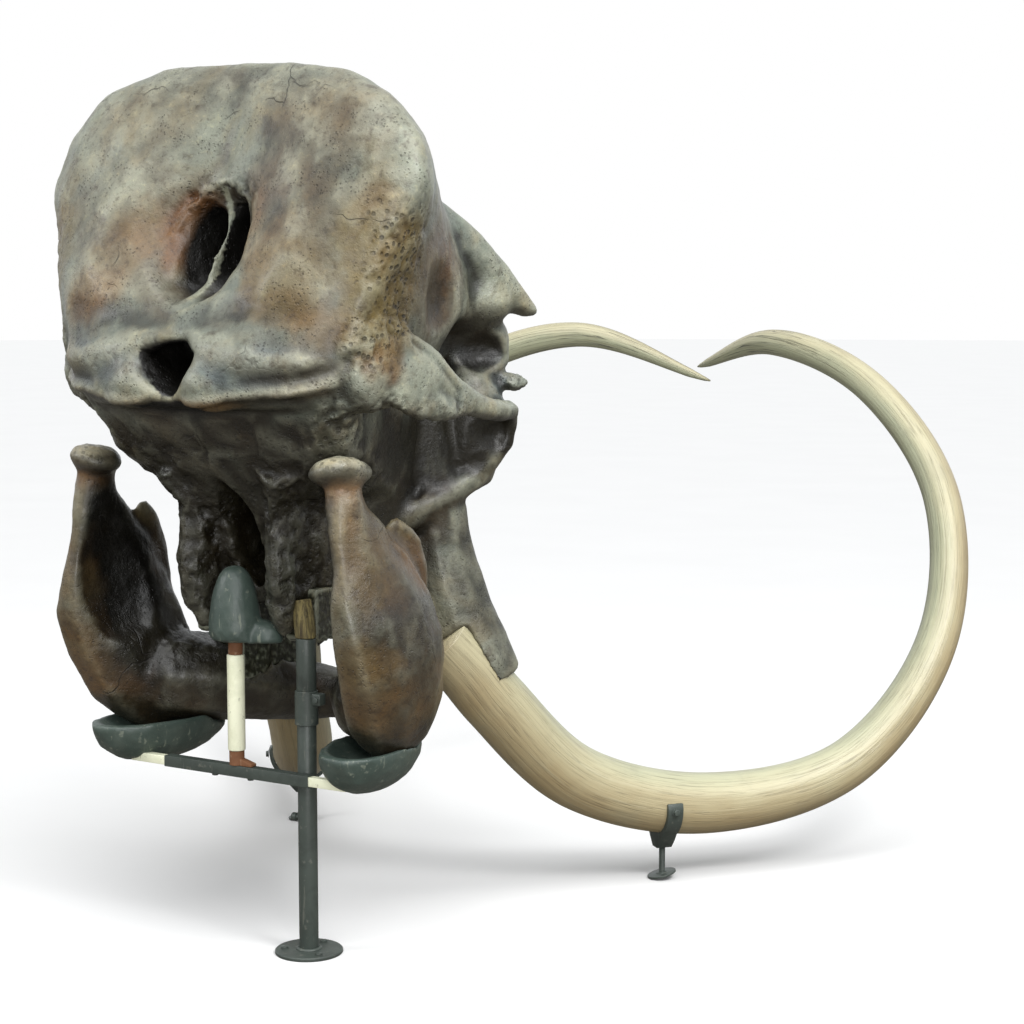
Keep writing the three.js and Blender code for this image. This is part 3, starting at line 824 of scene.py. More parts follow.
class Clay:
    """The points of a piece while it is shaped and stained, in mm from the midline."""

    def __init__(self, piece: bpy.types.Object, seed: int) -> None:
        """Reads a piece's points and edges.

        Args:
            piece: the piece.
            seed: seed of its noise.
        """
        self.piece = piece
        self.grain = Grain(seed)
        mesh = piece.data
        points = np.empty(len(mesh.vertices) * 3, np.float32)
        mesh.vertices.foreach_get("co", points)
        self.points = points.reshape(-1, 3).astype(float) / MM - (MIDLINE, 0, 0)
        edges = np.empty(len(mesh.edges) * 2, np.int32)
        mesh.edges.foreach_get("vertices", edges)
        pairs = edges.reshape(-1, 2)
        self.ends = np.concatenate([pairs, pairs[:, ::-1]])
        self.count = np.maximum(np.bincount(self.ends[:, 0], minlength=len(self.points)), 1)
        self.colour = np.ones((len(self.points), 3))
        self.porous = np.zeros(len(self.points))

    def average(self, values: np.ndarray) -> np.ndarray:
        """The mean of each point's neighbours.

        Args:
            values: N values or N by K values.

        Returns:
            The means, in the same shape.
        """
        flat = values.reshape(len(self.points), -1)
        near = [
            np.bincount(self.ends[:, 0], weights=flat[self.ends[:, 1], k], minlength=len(flat)) / self.count
            for k in range(flat.shape[1])
        ]
        return np.stack(near, axis=1).reshape(values.shape)

    def relax(self, rounds: int, weight: np.ndarray | float = 1.0) -> None:
        """Smooths the surface without shrinking it.

        Args:
            rounds: number of passes in and out.
            weight: how strongly each point follows, from 0 to 1.
        """
        share = np.broadcast_to(weight, len(self.points))[:, None]
        for _ in range(rounds):
            for step in (0.60, -0.62):
                self.points += step * share * (self.average(self.points) - self.points)

    def melt(self, rounds: int, weight: np.ndarray | float) -> None:
        """Rounds the surface off, facets and all.

        Args:
            rounds: number of passes.
            weight: how strongly each point follows, from 0 to 1.
        """
        share = 0.6 * np.broadcast_to(weight, len(self.points))[:, None]
        for _ in range(rounds):
            self.points += share * (self.average(self.points) - self.points)

    def write(self) -> None:
        """Writes the points back to the piece."""
        placed = (self.points + (MIDLINE, 0, 0)) * MM
        self.piece.data.vertices.foreach_set("co", placed.astype(np.float32).ravel())
        self.piece.data.update()

    def normals(self) -> np.ndarray:
        """The outward direction at each point."""
        self.write()
        found = np.empty(len(self.points) * 3, np.float32)
        self.piece.data.vertex_normals.foreach_get("vector", found)
        return found.reshape(-1, 3).astype(float)

    def sides(self, paired: bool) -> tuple[int, ...]:
        """The signs of X that a mark is made on."""
        return (1, -1) if paired else (1,)

    def nearness(self, centre: Point, size: Point, side: int, ragged: float = 0.35) -> np.ndarray:
        """How far inside an uneven ellipsoid each point lies, from 0 outside to 1.

        Args:
            centre: its centre.
            size: its half sizes.
            side: -1 to mirror it.
            ragged: how uneven its border is.

        Returns:
            N values.
        """
        away = (self.points * (side, 1, 1) - centre) / size
        reach = np.linalg.norm(away, axis=1) + ragged * self.grain.cloud(self.points, 90.0, 4)
        return np.clip((1.25 - reach) / 0.6, 0, 1)

    def away(self, points: tuple[Point, ...], side: int) -> np.ndarray:
        """How far each point of the clay lies from a line, in mm.

        Args:
            points: the line's points.
            side: -1 to mirror it.

        Returns:
            N distances.
        """
        here = self.points * (side, 1, 1)
        line = np.array(points, float)
        nearest = np.full(len(here), np.inf)
        for start, end in zip(line[:-1], line[1:]):
            run = end - start
            share = np.clip((here - start) @ run / (run @ run), 0, 1)
            nearest = np.minimum(nearest, np.linalg.norm(here - start - share[:, None] * run, axis=1))
        return nearest

    def stroke(self, mark: Stroke, facing: np.ndarray) -> None:
        """Raises or cuts the surface along a stroke.

        Args:
            mark: the stroke.
            facing: outward direction at each point.
        """
        for side in self.sides(mark.paired):
            nearest = self.away(mark.points, side)
            force = np.exp(-((nearest / mark.width) ** 2))
            force = force * (1 + mark.broken * self.grain.cloud(self.points, 45.0, 3))
            self.points += (mark.rise * force)[:, None] * facing

    def swell(self, facing: np.ndarray, height: float, wave: float, octaves: int = 3) -> None:
        """Lets the whole surface swell and sink a little.

        Args:
            facing: outward direction at each point.
            height: how far, in mm.
            wave: length of the longest wave, in mm.
            octaves: number of waves.
        """
        self.points += (height * self.grain.cloud(self.points, wave, octaves))[:, None] * facing

    def roughen(self, zone: Rough, facing: np.ndarray) -> None:
        """Breaks up the surface in a zone and marks it as porous.

        Args:
            zone: the zone.
            facing: outward direction at each point.
        """
        for side in self.sides(zone.paired):
            share = self.nearness(zone.centre, zone.size, side)
            broken = self.grain.cloud(self.points, zone.wave, 3)
            broken = broken - 0.5 * np.clip(broken, 0.15, 1)
            self.points += (zone.height * share * broken)[:, None] * facing
            self.porous = np.maximum(self.porous, zone.porous * share)

    def relief(self, rounds: int) -> np.ndarray:
        """How far each point stands out of its surroundings, in mm."""
        facing = self.normals()
        smoothed = self.points.copy()
        for _ in range(rounds):
            smoothed = self.average(smoothed)
        return np.einsum("ij,ij->i", self.points - smoothed, facing)

    def stain(self, share: np.ndarray, pigment: Pigment) -> None:
        """Lays a pigment over the surface.

        Args:
            share: how much covers each point, from 0 to 1.
            pigment: the pigment.
        """
        cover = np.clip(share, 0, 1)[:, None]
        self.colour += cover * (np.array(pigment.linear) - self.colour)

    def stain_patch(self, patch: Patch) -> None:
        """Lays one patch of pigment, mirrored if it is paired."""
        for side in self.sides(patch.paired):
            self.stain(patch.strength * self.nearness(patch.centre, patch.size, side, 0.5), patch.pigment)

    def stain_streak(self, streak: Streak) -> None:
        """Lays pigment along a line, mirrored if it is paired."""
        for side in self.sides(streak.paired):
            wander = 1 + 0.5 * self.grain.cloud(self.points, 60.0, 4)
            near = np.exp(-((self.away(streak.points, side) / (streak.width * np.clip(wander, 0.3, 2))) ** 2))
            self.stain(streak.strength * near, streak.pigment)

    def keep(self) -> None:
        """Writes the points, the tint and the porous mask to the piece."""
        self.write()
        mesh = self.piece.data
        tint = mesh.attributes.new("tint", "FLOAT_COLOR", "POINT")
        rgba = np.concatenate([np.clip(self.colour, 0, 1), np.ones((len(self.points), 1))], axis=1)
        tint.data.foreach_set("color", rgba.astype(np.float32).ravel())
        mask = mesh.attributes.new("porous", "FLOAT", "POINT")
        mask.data.foreach_set("value", self.porous.astype(np.float32))
        mesh.shade_smooth()


def even(piece: bpy.types.Object, voxel: float) -> bpy.types.Object:
    """Args:
        piece: the piece.
        voxel: size of the mesh, in metres.

    Returns:
        The piece.
    """
    return modified(piece, "REMESH", mode="VOXEL", voxel_size=voxel * 1.0)


def built_up(piece: bpy.types.Object, lumps: tuple[Lump, ...]) -> bpy.types.Object:
    """Lays lumps on both sides of a piece; its next even mesh makes them one with it.

    Args:
        piece: the piece.
        lumps: what is laid on.

    Returns:
        The piece.
    """
    laid = [piece]
    for lump, side in itertools.product(lumps, Side):
        x, y, z = lump.centre
        tip, roll, swing = (math.radians(angle) for angle in lump.turn)
        bpy.ops.object.select_all(action="DESELECT")
        bpy.ops.mesh.primitive_ico_sphere_add(
            subdivisions=4,
            radius=1.0,
            location=((side.value * x + MIDLINE) * MM, y * MM, z * MM),
            rotation=(tip, side.value * roll, side.value * swing),
        )
        mass = named("lump")
        mass.scale = [size * MM for size in lump.size]
        laid.append(settle(mass))
    return welded(piece.name, laid)


def thinned(piece: bpy.types.Object, triangles: int) -> bpy.types.Object:
    """Merges triangles where the surface is plain, down to a number of them."""
    faces = sum(len(face.vertices) - 2 for face in piece.data.polygons)
    if faces > triangles:
        modified(piece, "DECIMATE", ratio=triangles / faces)
    return piece


# ---- Bones ---------------------------------------------------------------
@dataclass(frozen=True)
class NeckPit:
    """The double pit for the neck's ligament, a funnel with two slots and a thin wall between."""

    middle: float = 1552.0
    wide: float = 122.0
    tall: float = 126.0
    deep: float = 140.0
    slot_at: float = 44.0
    slot_wide: float = 34.0
    slot_deep: float = 110.0
    wall: float = 7.5
    back: Point = (119.0, 0.45, 1557.0)  # depth of the back of the head, its fall with height, and where
    canal_at: Point = (8.0, 0.0, 1272.0)

    def sunk(self, clay: Clay) -> np.ndarray:
        """How far each point lies under the back of the head, in mm."""
        depth, fall, height = self.back
        return depth - fall * (clay.points[:, 2] - height) - clay.points[:, 1]

    def sink(self, clay: Clay) -> None:
        """Sinks the pit into the back of the head.

        Args:
            clay: the head.
        """
        x, y, z = clay.points.T
        slope = np.clip(1 - np.hypot((x - 96) / 96, (z - 1585) / 92), 0, 1)
        clay.points[:, 1] -= 46 * slope**1.2 * (y > -60)
        depth, fall, height = self.back
        rim = depth - fall * (z - height)
        ragged = 0.10 * clay.grain.cloud(clay.points, 70.0, 3)
        reach = np.hypot(x / self.wide, (z - self.middle) / self.tall) + ragged
        slot = np.hypot((np.abs(x) - self.slot_at) / self.slot_wide, (z - self.middle + 24) / 96) + ragged
        funnel = self.deep * np.clip(1 - reach, 0, 1) ** 0.85
        floor = rim - funnel - self.slot_deep * np.clip(1.3 - slot, 0, 1)
        edge = 112 - 0.415 * (z - 1440) + 34 * np.exp(-(((z - 1520) / 62) ** 2)) + 3 * np.sin(z / 9)
        floor = np.where(np.abs(x) < self.wall, np.maximum(floor, edge), floor)
        share = np.clip((1.06 - reach) / 0.14, 0, 1) * (y > -190)
        clay.points[:, 1] += share * (floor - y)

    def stain(self, clay: Clay) -> None:
        """Stains the pit rusty on its slope, with painted shade black inside it and in the canal below it.

        Args:
            clay: the head.
        """
        x, y, z = clay.points.T
        facing = clay.normals()
        sunk = self.sunk(clay)
        reach = np.hypot(x / 126, (z - 1550) / 132)
        pit, rim = np.clip(1.12 - reach, 0, 0.12) / 0.12, np.clip(1.4 - reach, 0, 0.2) / 0.2
        slope = np.clip(1.25 - np.hypot((x - 92) / 100, (z - 1585) / 96), 0, 0.5) / 0.5
        middle, _, height = self.canal_at
        round_canal = np.clip(1.2 - np.hypot((x - middle) / 112, (z - height) / 88), 0, 0.2) / 0.2
        canal = round_canal * (y > -80) * (y < 248)
        clay.stain(0.40 * rim * (y > -60) * np.clip(x / 60, 0, 1), Pigment.ROSE)
        clay.stain(0.85 * slope * (y > -60) * np.clip(sunk / 20, 0, 1), Pigment.RUST)
        # Painted shade, dark brown, on the pit's right-hand side.
        clay.stain(0.85 * pit * np.clip(sunk / 30, 0, 1) * np.clip(-x / 20, 0, 1), Pigment.UMBER)
        # Painted shade, black, deep in the pit.
        clay.stain(1.0 * pit * np.clip(sunk / 34 - 0.9, 0, 1), Pigment.PITCH)
        clay.stain(0.8 * (np.abs(x) < 9) * pit * (sunk < 70) * (sunk > 12), Pigment.DOVE)
        # Painted shade, black, inside the canal.
        clay.stain(canal * np.clip(3.0 - 3 * facing[:, 1], 0, 1), Pigment.PITCH)


@dataclass
class Cranium:
    """The head: braincase, brow, cheek arches, palate and tusk sheaths."""

    voxel: float = 0.0055
    triangles: int = 190000
    seed: int = 11
    lumps: tuple[Lump, ...] = (
        Lump((384, 52, 1272), (46, 80, 78)),
        Lump((424, -62, 1262), (23, 104, 70), (-16, 0, 0)),
        Lump((132, -60, 940), (40, 115, 150), (0, 6, 0)),
        Lump((120, -60, 800), (34, 95, 90)),
    )
    crest: tuple[Point, ...] = (
        (345, -60, 1640),
        (419, -22, 1570),
        (435, 73, 1495),
        (401, 108, 1420),
        (379, 137, 1340),
        (372, 130, 1280),
    )
    strokes: tuple[Stroke, ...] = (
        Stroke(((60, 228, 1335), (150, 240, 1322), (240, 238, 1308), (330, 195, 1300)), 30, 13),
        Stroke(((70, 205, 1390), (160, 210, 1400), (290, 188, 1405)), 36, -9),
        Stroke(((22, 262, 1215), (120, 268, 1222), (250, 235, 1235), (351, 151, 1262)), 14, 12),
        Stroke(((40, 262, 1188), (170, 249, 1196), (300, 190, 1212)), 17, -13),
        Stroke(((100, 250, 1270), (220, 240, 1262), (330, 185, 1275)), 20, -6),
        Stroke(((432, -40, 1345), (438, -120, 1290), (434, -200, 1232)), 8, -6, 0.2),
        Stroke(((300, -300, 1590), (330, -330, 1560), (350, -390, 1520)), 6, -8, 0.6),
        Stroke(((345, -520, 1116), (335, -440, 1108)), 34, -26, 0.2),
        Stroke(((0, 20, 1890), (20, 60, 1800), (-10, 80, 1720)), 26, -6),
        Stroke(((200, 90, 1700), (260, 130, 1600), (270, 170, 1500)), 40, 7),
        Stroke(((330, -20, 1700), (360, 30, 1600), (350, 90, 1520)), 44, -8),
    )
    zones: tuple[Rough, ...] = (
        Rough((428, 20, 1520), (60, 100, 150), 8, 26, 0.75),
        Rough((400, 90, 1340), (60, 70, 70), 8, 24, 0.6),
        Rough((412, 0, 1385), (36, 50, 36), 15, 15, 1.0),
        Rough((340, 60, 1200), (110, 110, 60), 12, 28, 0.5),
        Rough((160, -40, 1000), (150, 200, 130), 16, 44, 0.4),
        Rough((140, -60, 820), (120, 200, 170), 16, 42, 0.4),
        Rough((425, -100, 1190), (40, 170, 40), 7, 30, 0.3),
        Rough((320, -630, 1230), (60, 70, 50), 9, 24, 0.5),
        Rough((280, -600, 540), (110, 110, 50), 7, 30, 0.3),
        Rough((0, -500, 1400), (240, 130, 130), 8, 40, 0.3),
        Rough((190, 40, 1110), (260, 200, 80), 12, 52, 0.35),
        Rough((0, 60, 1650), (110, 60, 40), 7, 18, 0.5, False),
    )
    patches: tuple[Patch, ...] = (
        Patch((0, -40, 1900), (330, 200, 90), Pigment.WALNUT, 0.35, False),
        Patch((260, 10, 1810), (150, 110, 80), Pigment.ROSE, 0.65),
        Patch((180, 90, 1680), (110, 90, 70), Pigment.RUST, 0.45),
        Patch((410, 20, 1760), (70, 120, 170), Pigment.DOVE, 0.25),
        Patch((330, 100, 1560), (130, 90, 150), Pigment.ROSE, 0.45),
        Patch((230, 160, 1530), (100, 90, 120), Pigment.ROSE, 0.80),
        Patch((260, 185, 1440), (120, 70, 60), Pigment.TERRACOTTA, 0.45),
        Patch((410, 40, 1520), (64, 120, 200), Pigment.OCHRE, 0.9),
        Patch((400, 90, 1360), (60, 80, 80), Pigment.OCHRE, 0.6),
        Patch((140, 70, 1560), (60, 90, 90), Pigment.TERRACOTTA, 0.55),
        Patch((160, 240, 1290), (230, 80, 50), Pigment.LEAD, 0.80),
        Patch((330, 180, 1290), (80, 60, 60), Pigment.ROSE, 0.5),
        Patch((20, 262, 1225), (110, 40, 34), Pigment.DOVE, 0.65),
        # Painted shade under the head and under the palate.
        Patch((0, 0, 1020), (520, 560, 185), Pigment.UMBER, 1.3, False),
        Patch((0, 20, 990), (360, 320, 180), Pigment.PITCH, 0.75, False),
        Patch((0, -60, 800), (330, 420, 220), Pigment.UMBER, 1.0, False),
        Patch((330, -200, 1480), (130, 150, 170), Pigment.WALNUT, 0.9),
        Patch((335, -300, 1500), (90, 120, 60), Pigment.RUST, 0.35),
        # Painted shade, black, in the hollows under the brow and inside the cheek arch.
        Patch((330, -440, 1310), (160, 200, 80), Pigment.PITCH, 1.0),
        Patch((270, -330, 1110), (120, 250, 90), Pigment.PITCH, 1.0),
        Patch((300, -550, 1450), (170, 170, 64), Pigment.DOVE, 0.7),
        Patch((440, -90, 1285), (34, 150, 80), Pigment.SLATE, 0.8),
        Patch((440, -110, 1270), (34, 120, 50), Pigment.DOVE, 0.55),
        Patch((400, 50, 1290), (50, 70, 60), Pigment.RUST, 0.7),
        Patch((412, 30, 1230), (50, 50, 26), Pigment.DOVE, 0.8),
        Patch((390, -380, 1190), (60, 190, 24), Pigment.DOVE, 0.8),
        Patch((330, -580, 1226), (70, 70, 34), Pigment.LEAD, 0.8),
        Patch((350, -560, 1275), (40, 60, 26), Pigment.OCHRE, 0.8),
        Patch((250, -560, 720), (150, 150, 280), Pigment.UMBER, 1.0),
        Patch((230, -540, 820), (110, 110, 160), Pigment.LICHEN, 0.4),
        # Painted shade on the plates behind the palate, under the head.
        Patch((150, -60, 920), (170, 260, 260), Pigment.UMBER, 1.2),
        Patch((150, 40, 900), (60, 60, 120), Pigment.LICHEN, 0.3),
        # Painted shade, black, in the recess under the brow.
        Patch((290, -420, 1110), (120, 220, 90), Pigment.PITCH, 0.9),
        Patch((250, -580, 720), (150, 150, 280), Pigment.PITCH, 0.3),
        Patch((150, 110, 1740), (210, 150, 150), Pigment.DOVE, 0.42, False),
        Patch((330, 90, 1520), (110, 130, 170), Pigment.DOVE, 0.35, False),
        Patch((-60, 60, 1800), (170, 130, 90), Pigment.DOVE, 0.40, False),
        Patch((-250, 40, 1780), (150, 140, 130), Pigment.WALNUT, 0.50, False),
        Patch((-330, 60, 1620), (110, 120, 130), Pigment.BARK, 0.30, False),
    )
    # Laid after the mottling. The first four are painted shade under the head, on the plates behind the
    # palate and in the recesses under the brow; the fifth darkens the sheath; the rest are ochre, bark and
    # tawny stains.
    shade: tuple[Patch, ...] = (
        Patch((150, -60, 880), (230, 300, 230), Pigment.PEAT, 0.78),
        Patch((0, 0, 1070), (420, 460, 90), Pigment.PEAT, 0.45, False),
        Patch((290, -420, 1115), (130, 240, 90), Pigment.PEAT, 1.15),
        Patch((330, -420, 1290), (110, 150, 60), Pigment.PEAT, 0.45),
        Patch((250, -590, 720), (150, 150, 280), Pigment.PEAT, 0.42),
        Patch((410, 40, 1500), (74, 120, 200), Pigment.OCHRE, 0.5),
        Patch((380, -120, 1480), (110, 160, 150), Pigment.BARK, 0.42),
        Patch((-250, 150, 1450), (110, 90, 90), Pigment.OCHRE, 0.50, False),
        Patch((-330, 120, 1370), (70, 80, 60), Pigment.TAWNY, 0.40, False),
        Patch((160, 110, 1560), (80, 80, 80), Pigment.TAWNY, 0.55, False),
        Patch((260, 160, 1430), (90, 80, 60), Pigment.TAWNY, 0.30, False),
        Patch((-130, 262, 1208), (160, 40, 16), Pigment.TAWNY, 0.55, False),
        Patch((-400, 60, 1300), (40, 60, 50), Pigment.TAWNY, 0.40, False),
    )
    streaks: tuple[Streak, ...] = (
        Streak(
            ((30, 268, 1208), (130, 268, 1214), (250, 235, 1226), (340, 165, 1250)),
            16,
            Pigment.TERRACOTTA,
            0.7,
        ),
        # Painted shadow, black, under the ledge.
        Streak(((40, 262, 1180), (170, 249, 1188), (300, 190, 1205)), 18, Pigment.PITCH, 0.9),
        # Painted sheen, pale, along each side of the dome.
        Streak(((440, 20, 1860), (455, 40, 1700), (450, 70, 1560)), 26, Pigment.DOVE, 0.5),
        Streak(
            ((325, -590, 1150), (318, -585, 1080), (262, -490, 985), (196, -350, 925)), 20, Pigment.ROSE, 0.85
        ),
        Streak(((345, -620, 1150), (330, -610, 1075), (275, -520, 975)), 12, Pigment.DOVE, 0.6),
        Streak(((205, -350, 935), (150, -250, 910)), 22, Pigment.DOVE, 0.7),
        # Painted highlight along the edge of the tusk sheath.
        Streak(((255, -572, 742), (232, -566, 880), (220, -545, 980)), 9, Pigment.DOVE, 0.6),
        Streak(((268, -600, 660), (280, -645, 590)), 9, Pigment.DOVE, 0.5),
    )

    def build(self, finish: bpy.types.Material) -> bpy.types.Object:
        """Shapes, stains and dresses the head.

        Args:
            finish: the bone's material.

        Returns:
            The finished piece.
        """
        piece = even(built_up(cast_of("cranium", "cranium_bone"), self.lumps), self.voxel * 1.1)
        self.rough_out(Clay(piece, self.seed))
        thinned(even(piece, self.voxel), self.triangles)
        clay = Clay(piece, self.seed)
        clay.relax(5)
        for side in Side:
            clay.melt(14, clay.nearness((266, -590, 610), (170, 170, 170), side.value, 0.0))
        self.shape(clay)
        self.paint(clay)
        clay.keep()
        return dress(piece, finish, "bone", "cranium")

    def rough_out(self, clay: Clay) -> None:
        """Rounds the broad faces off, keeps the crest, and sinks the neck's pit."""
        clay.relax(10)
        near_crest = np.minimum(clay.away(self.crest, 1), clay.away(self.crest, -1))
        broad = clay.nearness((0, -60, 1600), (560, 620, 360), 1, 0.0)
        clay.melt(70, broad * (1 - 0.8 * np.exp(-((near_crest / 60) ** 2))))
        clay.melt(6, 1.0)
        clay.points += 9 * broad[:, None] * clay.normals()
        pit = NeckPit()
        pit.sink(clay)
        clay.melt(5, clay.nearness((0, 60, pit.middle), (150, 160, 160), 1, 0.0))
        clay.write()

    def shape(self, clay: Clay) -> None:
        """Works the ridges, grooves and broken zones into the clay."""
        facing = clay.normals()
        for mark in (Stroke(self.crest, 24, 5), *self.strokes):
            clay.stroke(mark, facing)
        clay.swell(facing, 4.5, 120.0)
        clay.swell(facing, 1.2, 26.0, 2)
        for zone in self.zones:
            clay.roughen(zone, facing)

    def paint(self, clay: Clay) -> None:
        """Stains the clay, with painted shade darker in its hollows and under the head, and painted highlight
        paler on its ridges.
        """
        clay.stain(np.ones(len(clay.points)), Pigment.SLATE)
        for patch in self.patches:
            clay.stain_patch(patch)
        for streak in self.streaks:
            clay.stain_streak(streak)
        # Walnut mottling, painted shade in hollows and on undersides, painted highlight on ridges.
        mottle_shade_and_highlight(clay, clay.normals())
        # Then painted shade under the head and in its recesses, with some late stains.
        for patch in self.shade:
            clay.stain_patch(patch)
        NeckPit().stain(clay)


def mottle_shade_and_highlight(clay: Clay, facing: np.ndarray, ridge_highlight: float = 1.0) -> None:
    """Mottles the bone walnut at random, paints shade into hollows and onto undersides, and paints highlight
    onto ridges and broad swells.

    Args:
        clay: the bone.
        facing: outward direction at each point.
        ridge_highlight: strength of the painted highlight on the ridges.
    """
    broad, tight = clay.relief(60), clay.relief(8)
    mottle = clay.grain.cloud(clay.points, 150.0, 5)
    clay.stain(0.45 * np.clip(mottle * 2 - 0.1, 0, 1), Pigment.WALNUT)
    # Painted shade: black in broad and tight hollows.
    clay.stain(0.75 * np.clip(-broad / 7 - 0.15, 0, 1), Pigment.PITCH)
    clay.stain(0.50 * np.clip(-tight / 1.4 - 0.2, 0, 1), Pigment.PITCH)
    # Painted highlight: pale on broad swells and tight ridges.
    clay.stain(0.32 * ridge_highlight * np.clip(broad / 6 - 0.3, 0, 1), Pigment.DOVE)
    clay.stain(0.20 * ridge_highlight * np.clip(tight / 1.2 - 0.3, 0, 1), Pigment.CHALK)
    # Painted shade: dark brown on the faces that look down.
    clay.stain(0.75 * np.clip(-facing[:, 2] * 1.5 - 0.15, 0, 1), Pigment.UMBER)


@dataclass
class Mandible:
    """The lower jaw."""

    voxel: float = 0.0055
    triangles: int = 110000
    seed: int = 23
    lumps: tuple[Lump, ...] = (Lump((330, 108, 1078), (60, 62, 30), (0, -16, 12)),)
    strokes: tuple[Stroke, ...] = (
        Stroke(((360, 120, 1010), (368, 206, 858), (372, 215, 769), (350, 190, 640)), 24, 7),
        Stroke(((350, 101, 1060), (385, 90, 888), (392, -40, 744), (360, -236, 566)), 20, 15),
        Stroke(((375, -20, 900), (385, -120, 780), (370, -220, 660)), 46, -19),
        Stroke(((360, -65, 962), (372, -190, 880), (372, -250, 768), (356, -301, 668)), 12, 6, 0.8),
    )
    zones: tuple[Rough, ...] = (
        Rough((338, 90, 1095), (60, 90, 24), 4, 22, 0.7),
        Rough((362, -230, 780), (40, 50, 150), 7, 26, 0.3),
        Rough((230, -150, 640), (120, 160, 50), 6, 30, 0.4),
    )
    patches: tuple[Patch, ...] = (
        Patch((350, 0, 640), (90, 260, 160), Pigment.BARK, 0.9),
        Patch((372, 60, 860), (50, 190, 200), Pigment.BARK, 0.9),
        Patch((345, 120, 1010), (50, 70, 80), Pigment.ROSE, 0.85),
        Patch((345, 115, 1040), (45, 50, 40), Pigment.TERRACOTTA, 0.55),
        # Painted highlight on the top of each condyle.
        Patch((336, 108, 1103), (75, 90, 18), Pigment.CHALK, 0.7),
        Patch((385, -100, 800), (36, 120, 130), Pigment.RUST, 0.4),
        Patch((380, -60, 610), (50, 120, 50), Pigment.SLATE, 0.55),
        Patch((330, 60, 580), (90, 120, 50), Pigment.RUST, 0.4),
        # Painted shade, black, on the inner face of each ramus.
        Patch((285, 40, 820), (76, 160, 230), Pigment.PITCH, 1.5),
        Patch((260, -100, 640), (76, 220, 70), Pigment.PITCH, 0.9),
        # Painted highlight on a ridge of each ramus.
        Patch((352, -85, 950), (24, 60, 50), Pigment.HORN, 0.6),
    )
    # Laid after the mottling: tawny stains on the rami, painted shade nearly black on the inner faces, and a
    # peat stain low down.
    shade: tuple[Patch, ...] = (
        Patch((385, 20, 860), (50, 260, 130), Pigment.TAWNY, 0.22),
        Patch((385, 20, 640), (70, 300, 120), Pigment.TAWNY, 0.38),
        # Painted shade, black, on the inner face of each ramus.
        Patch((285, 40, 830), (76, 170, 240), Pigment.PITCH, 1.1),
        Patch((220, -60, 650), (110, 240, 90), Pigment.PEAT, 0.75),
    )
    streaks: tuple[Streak, ...] = (
        # Painted highlights along the ridges of the rami.
        Streak(((362, 150, 990), (370, 206, 858), (374, 215, 769), (360, 200, 680)), 20, Pigment.HORN, 0.65),
        Streak(((352, 95, 1000), (385, 90, 888), (396, -20, 760), (372, -200, 600)), 20, Pigment.HORN, 0.7),
        Streak(((362, -300, 668), (372, -250, 768), (370, -190, 880)), 14, Pigment.HORN, 0.5),
    )

    def build(self, finish: bpy.types.Material) -> bpy.types.Object:
        """Shapes, stains and dresses the jaw.

        Args:
            finish: the bone's material.

        Returns:
            The finished piece.
        """
        piece = even(built_up(cast_of("mandible", "mandible_bone"), self.lumps), self.voxel)
        clay = Clay(piece, self.seed)
        clay.relax(12)
        clay.melt(16, 1.0)
        clay.write()
        clay = Clay(thinned(piece, self.triangles), self.seed)
        self.shape(clay)
        self.paint(clay)
        clay.keep()
        return dress(piece, finish, "jaw_bone", "mandible")

    def shape(self, clay: Clay) -> None:
        """Works the ridges and broken zones into the clay."""
        facing = clay.normals()
        for mark in self.strokes:
            clay.stroke(mark, facing)
        clay.swell(facing, 3.0, 90.0)
        clay.swell(facing, 0.8, 20.0, 2)
        for zone in self.zones:
            clay.roughen(zone, facing)

    def paint(self, clay: Clay) -> None:
        """Stains the clay: painted shade nearly black on its inner faces, painted highlight paler along the
        ridges and edges.
        """
        clay.stain(np.ones(len(clay.points)), Pigment.UMBER)
        for patch in self.patches:
            clay.stain_patch(patch)
        for streak in self.streaks:
            clay.stain_streak(streak)
        # Walnut mottling, painted shade in hollows and on undersides, a weaker painted highlight on ridges.
        mottle_shade_and_highlight(clay, clay.normals(), 0.5)
        # Then painted shade on the inner faces, with tawny and peat stains.
        for patch in self.shade:
            clay.stain_patch(patch)


@dataclass
class Molars:
    """The four cheek teeth, their crowns folded into enamel ridges."""

    voxel: float = 0.0035
    seed: int = 31

    def build(self, finish: bpy.types.Material) -> None:
        """Shapes, stains and dresses each tooth.

        Args:
            finish: the enamel's material.
        """
        for row, side in itertools.product(("upper", "lower"), Side):
            node = f"{row}_molar_{side.label}"
            piece = cast_of(node, f"{node}_tooth")
            modified(piece, "REMESH", mode="VOXEL", voxel_size=self.voxel)
            clay = Clay(piece, self.seed + side.value)
            clay.relax(4)
            facing = clay.normals()
            clay.swell(facing, 1.6, 16.0, 3)
            clay.stain(np.ones(len(clay.points)), Pigment.LICHEN)
            # Painted highlight on the enamel ridges and painted shade in the folds between them.
            clay.stain(0.8 * np.clip(clay.relief(6) / 0.8, 0, 1), Pigment.DOVE)
            clay.stain(0.8 * np.clip(-clay.relief(6) / 0.8, 0, 1), Pigment.PITCH)
            clay.keep()
            dress(piece, finish, "enamel", node)


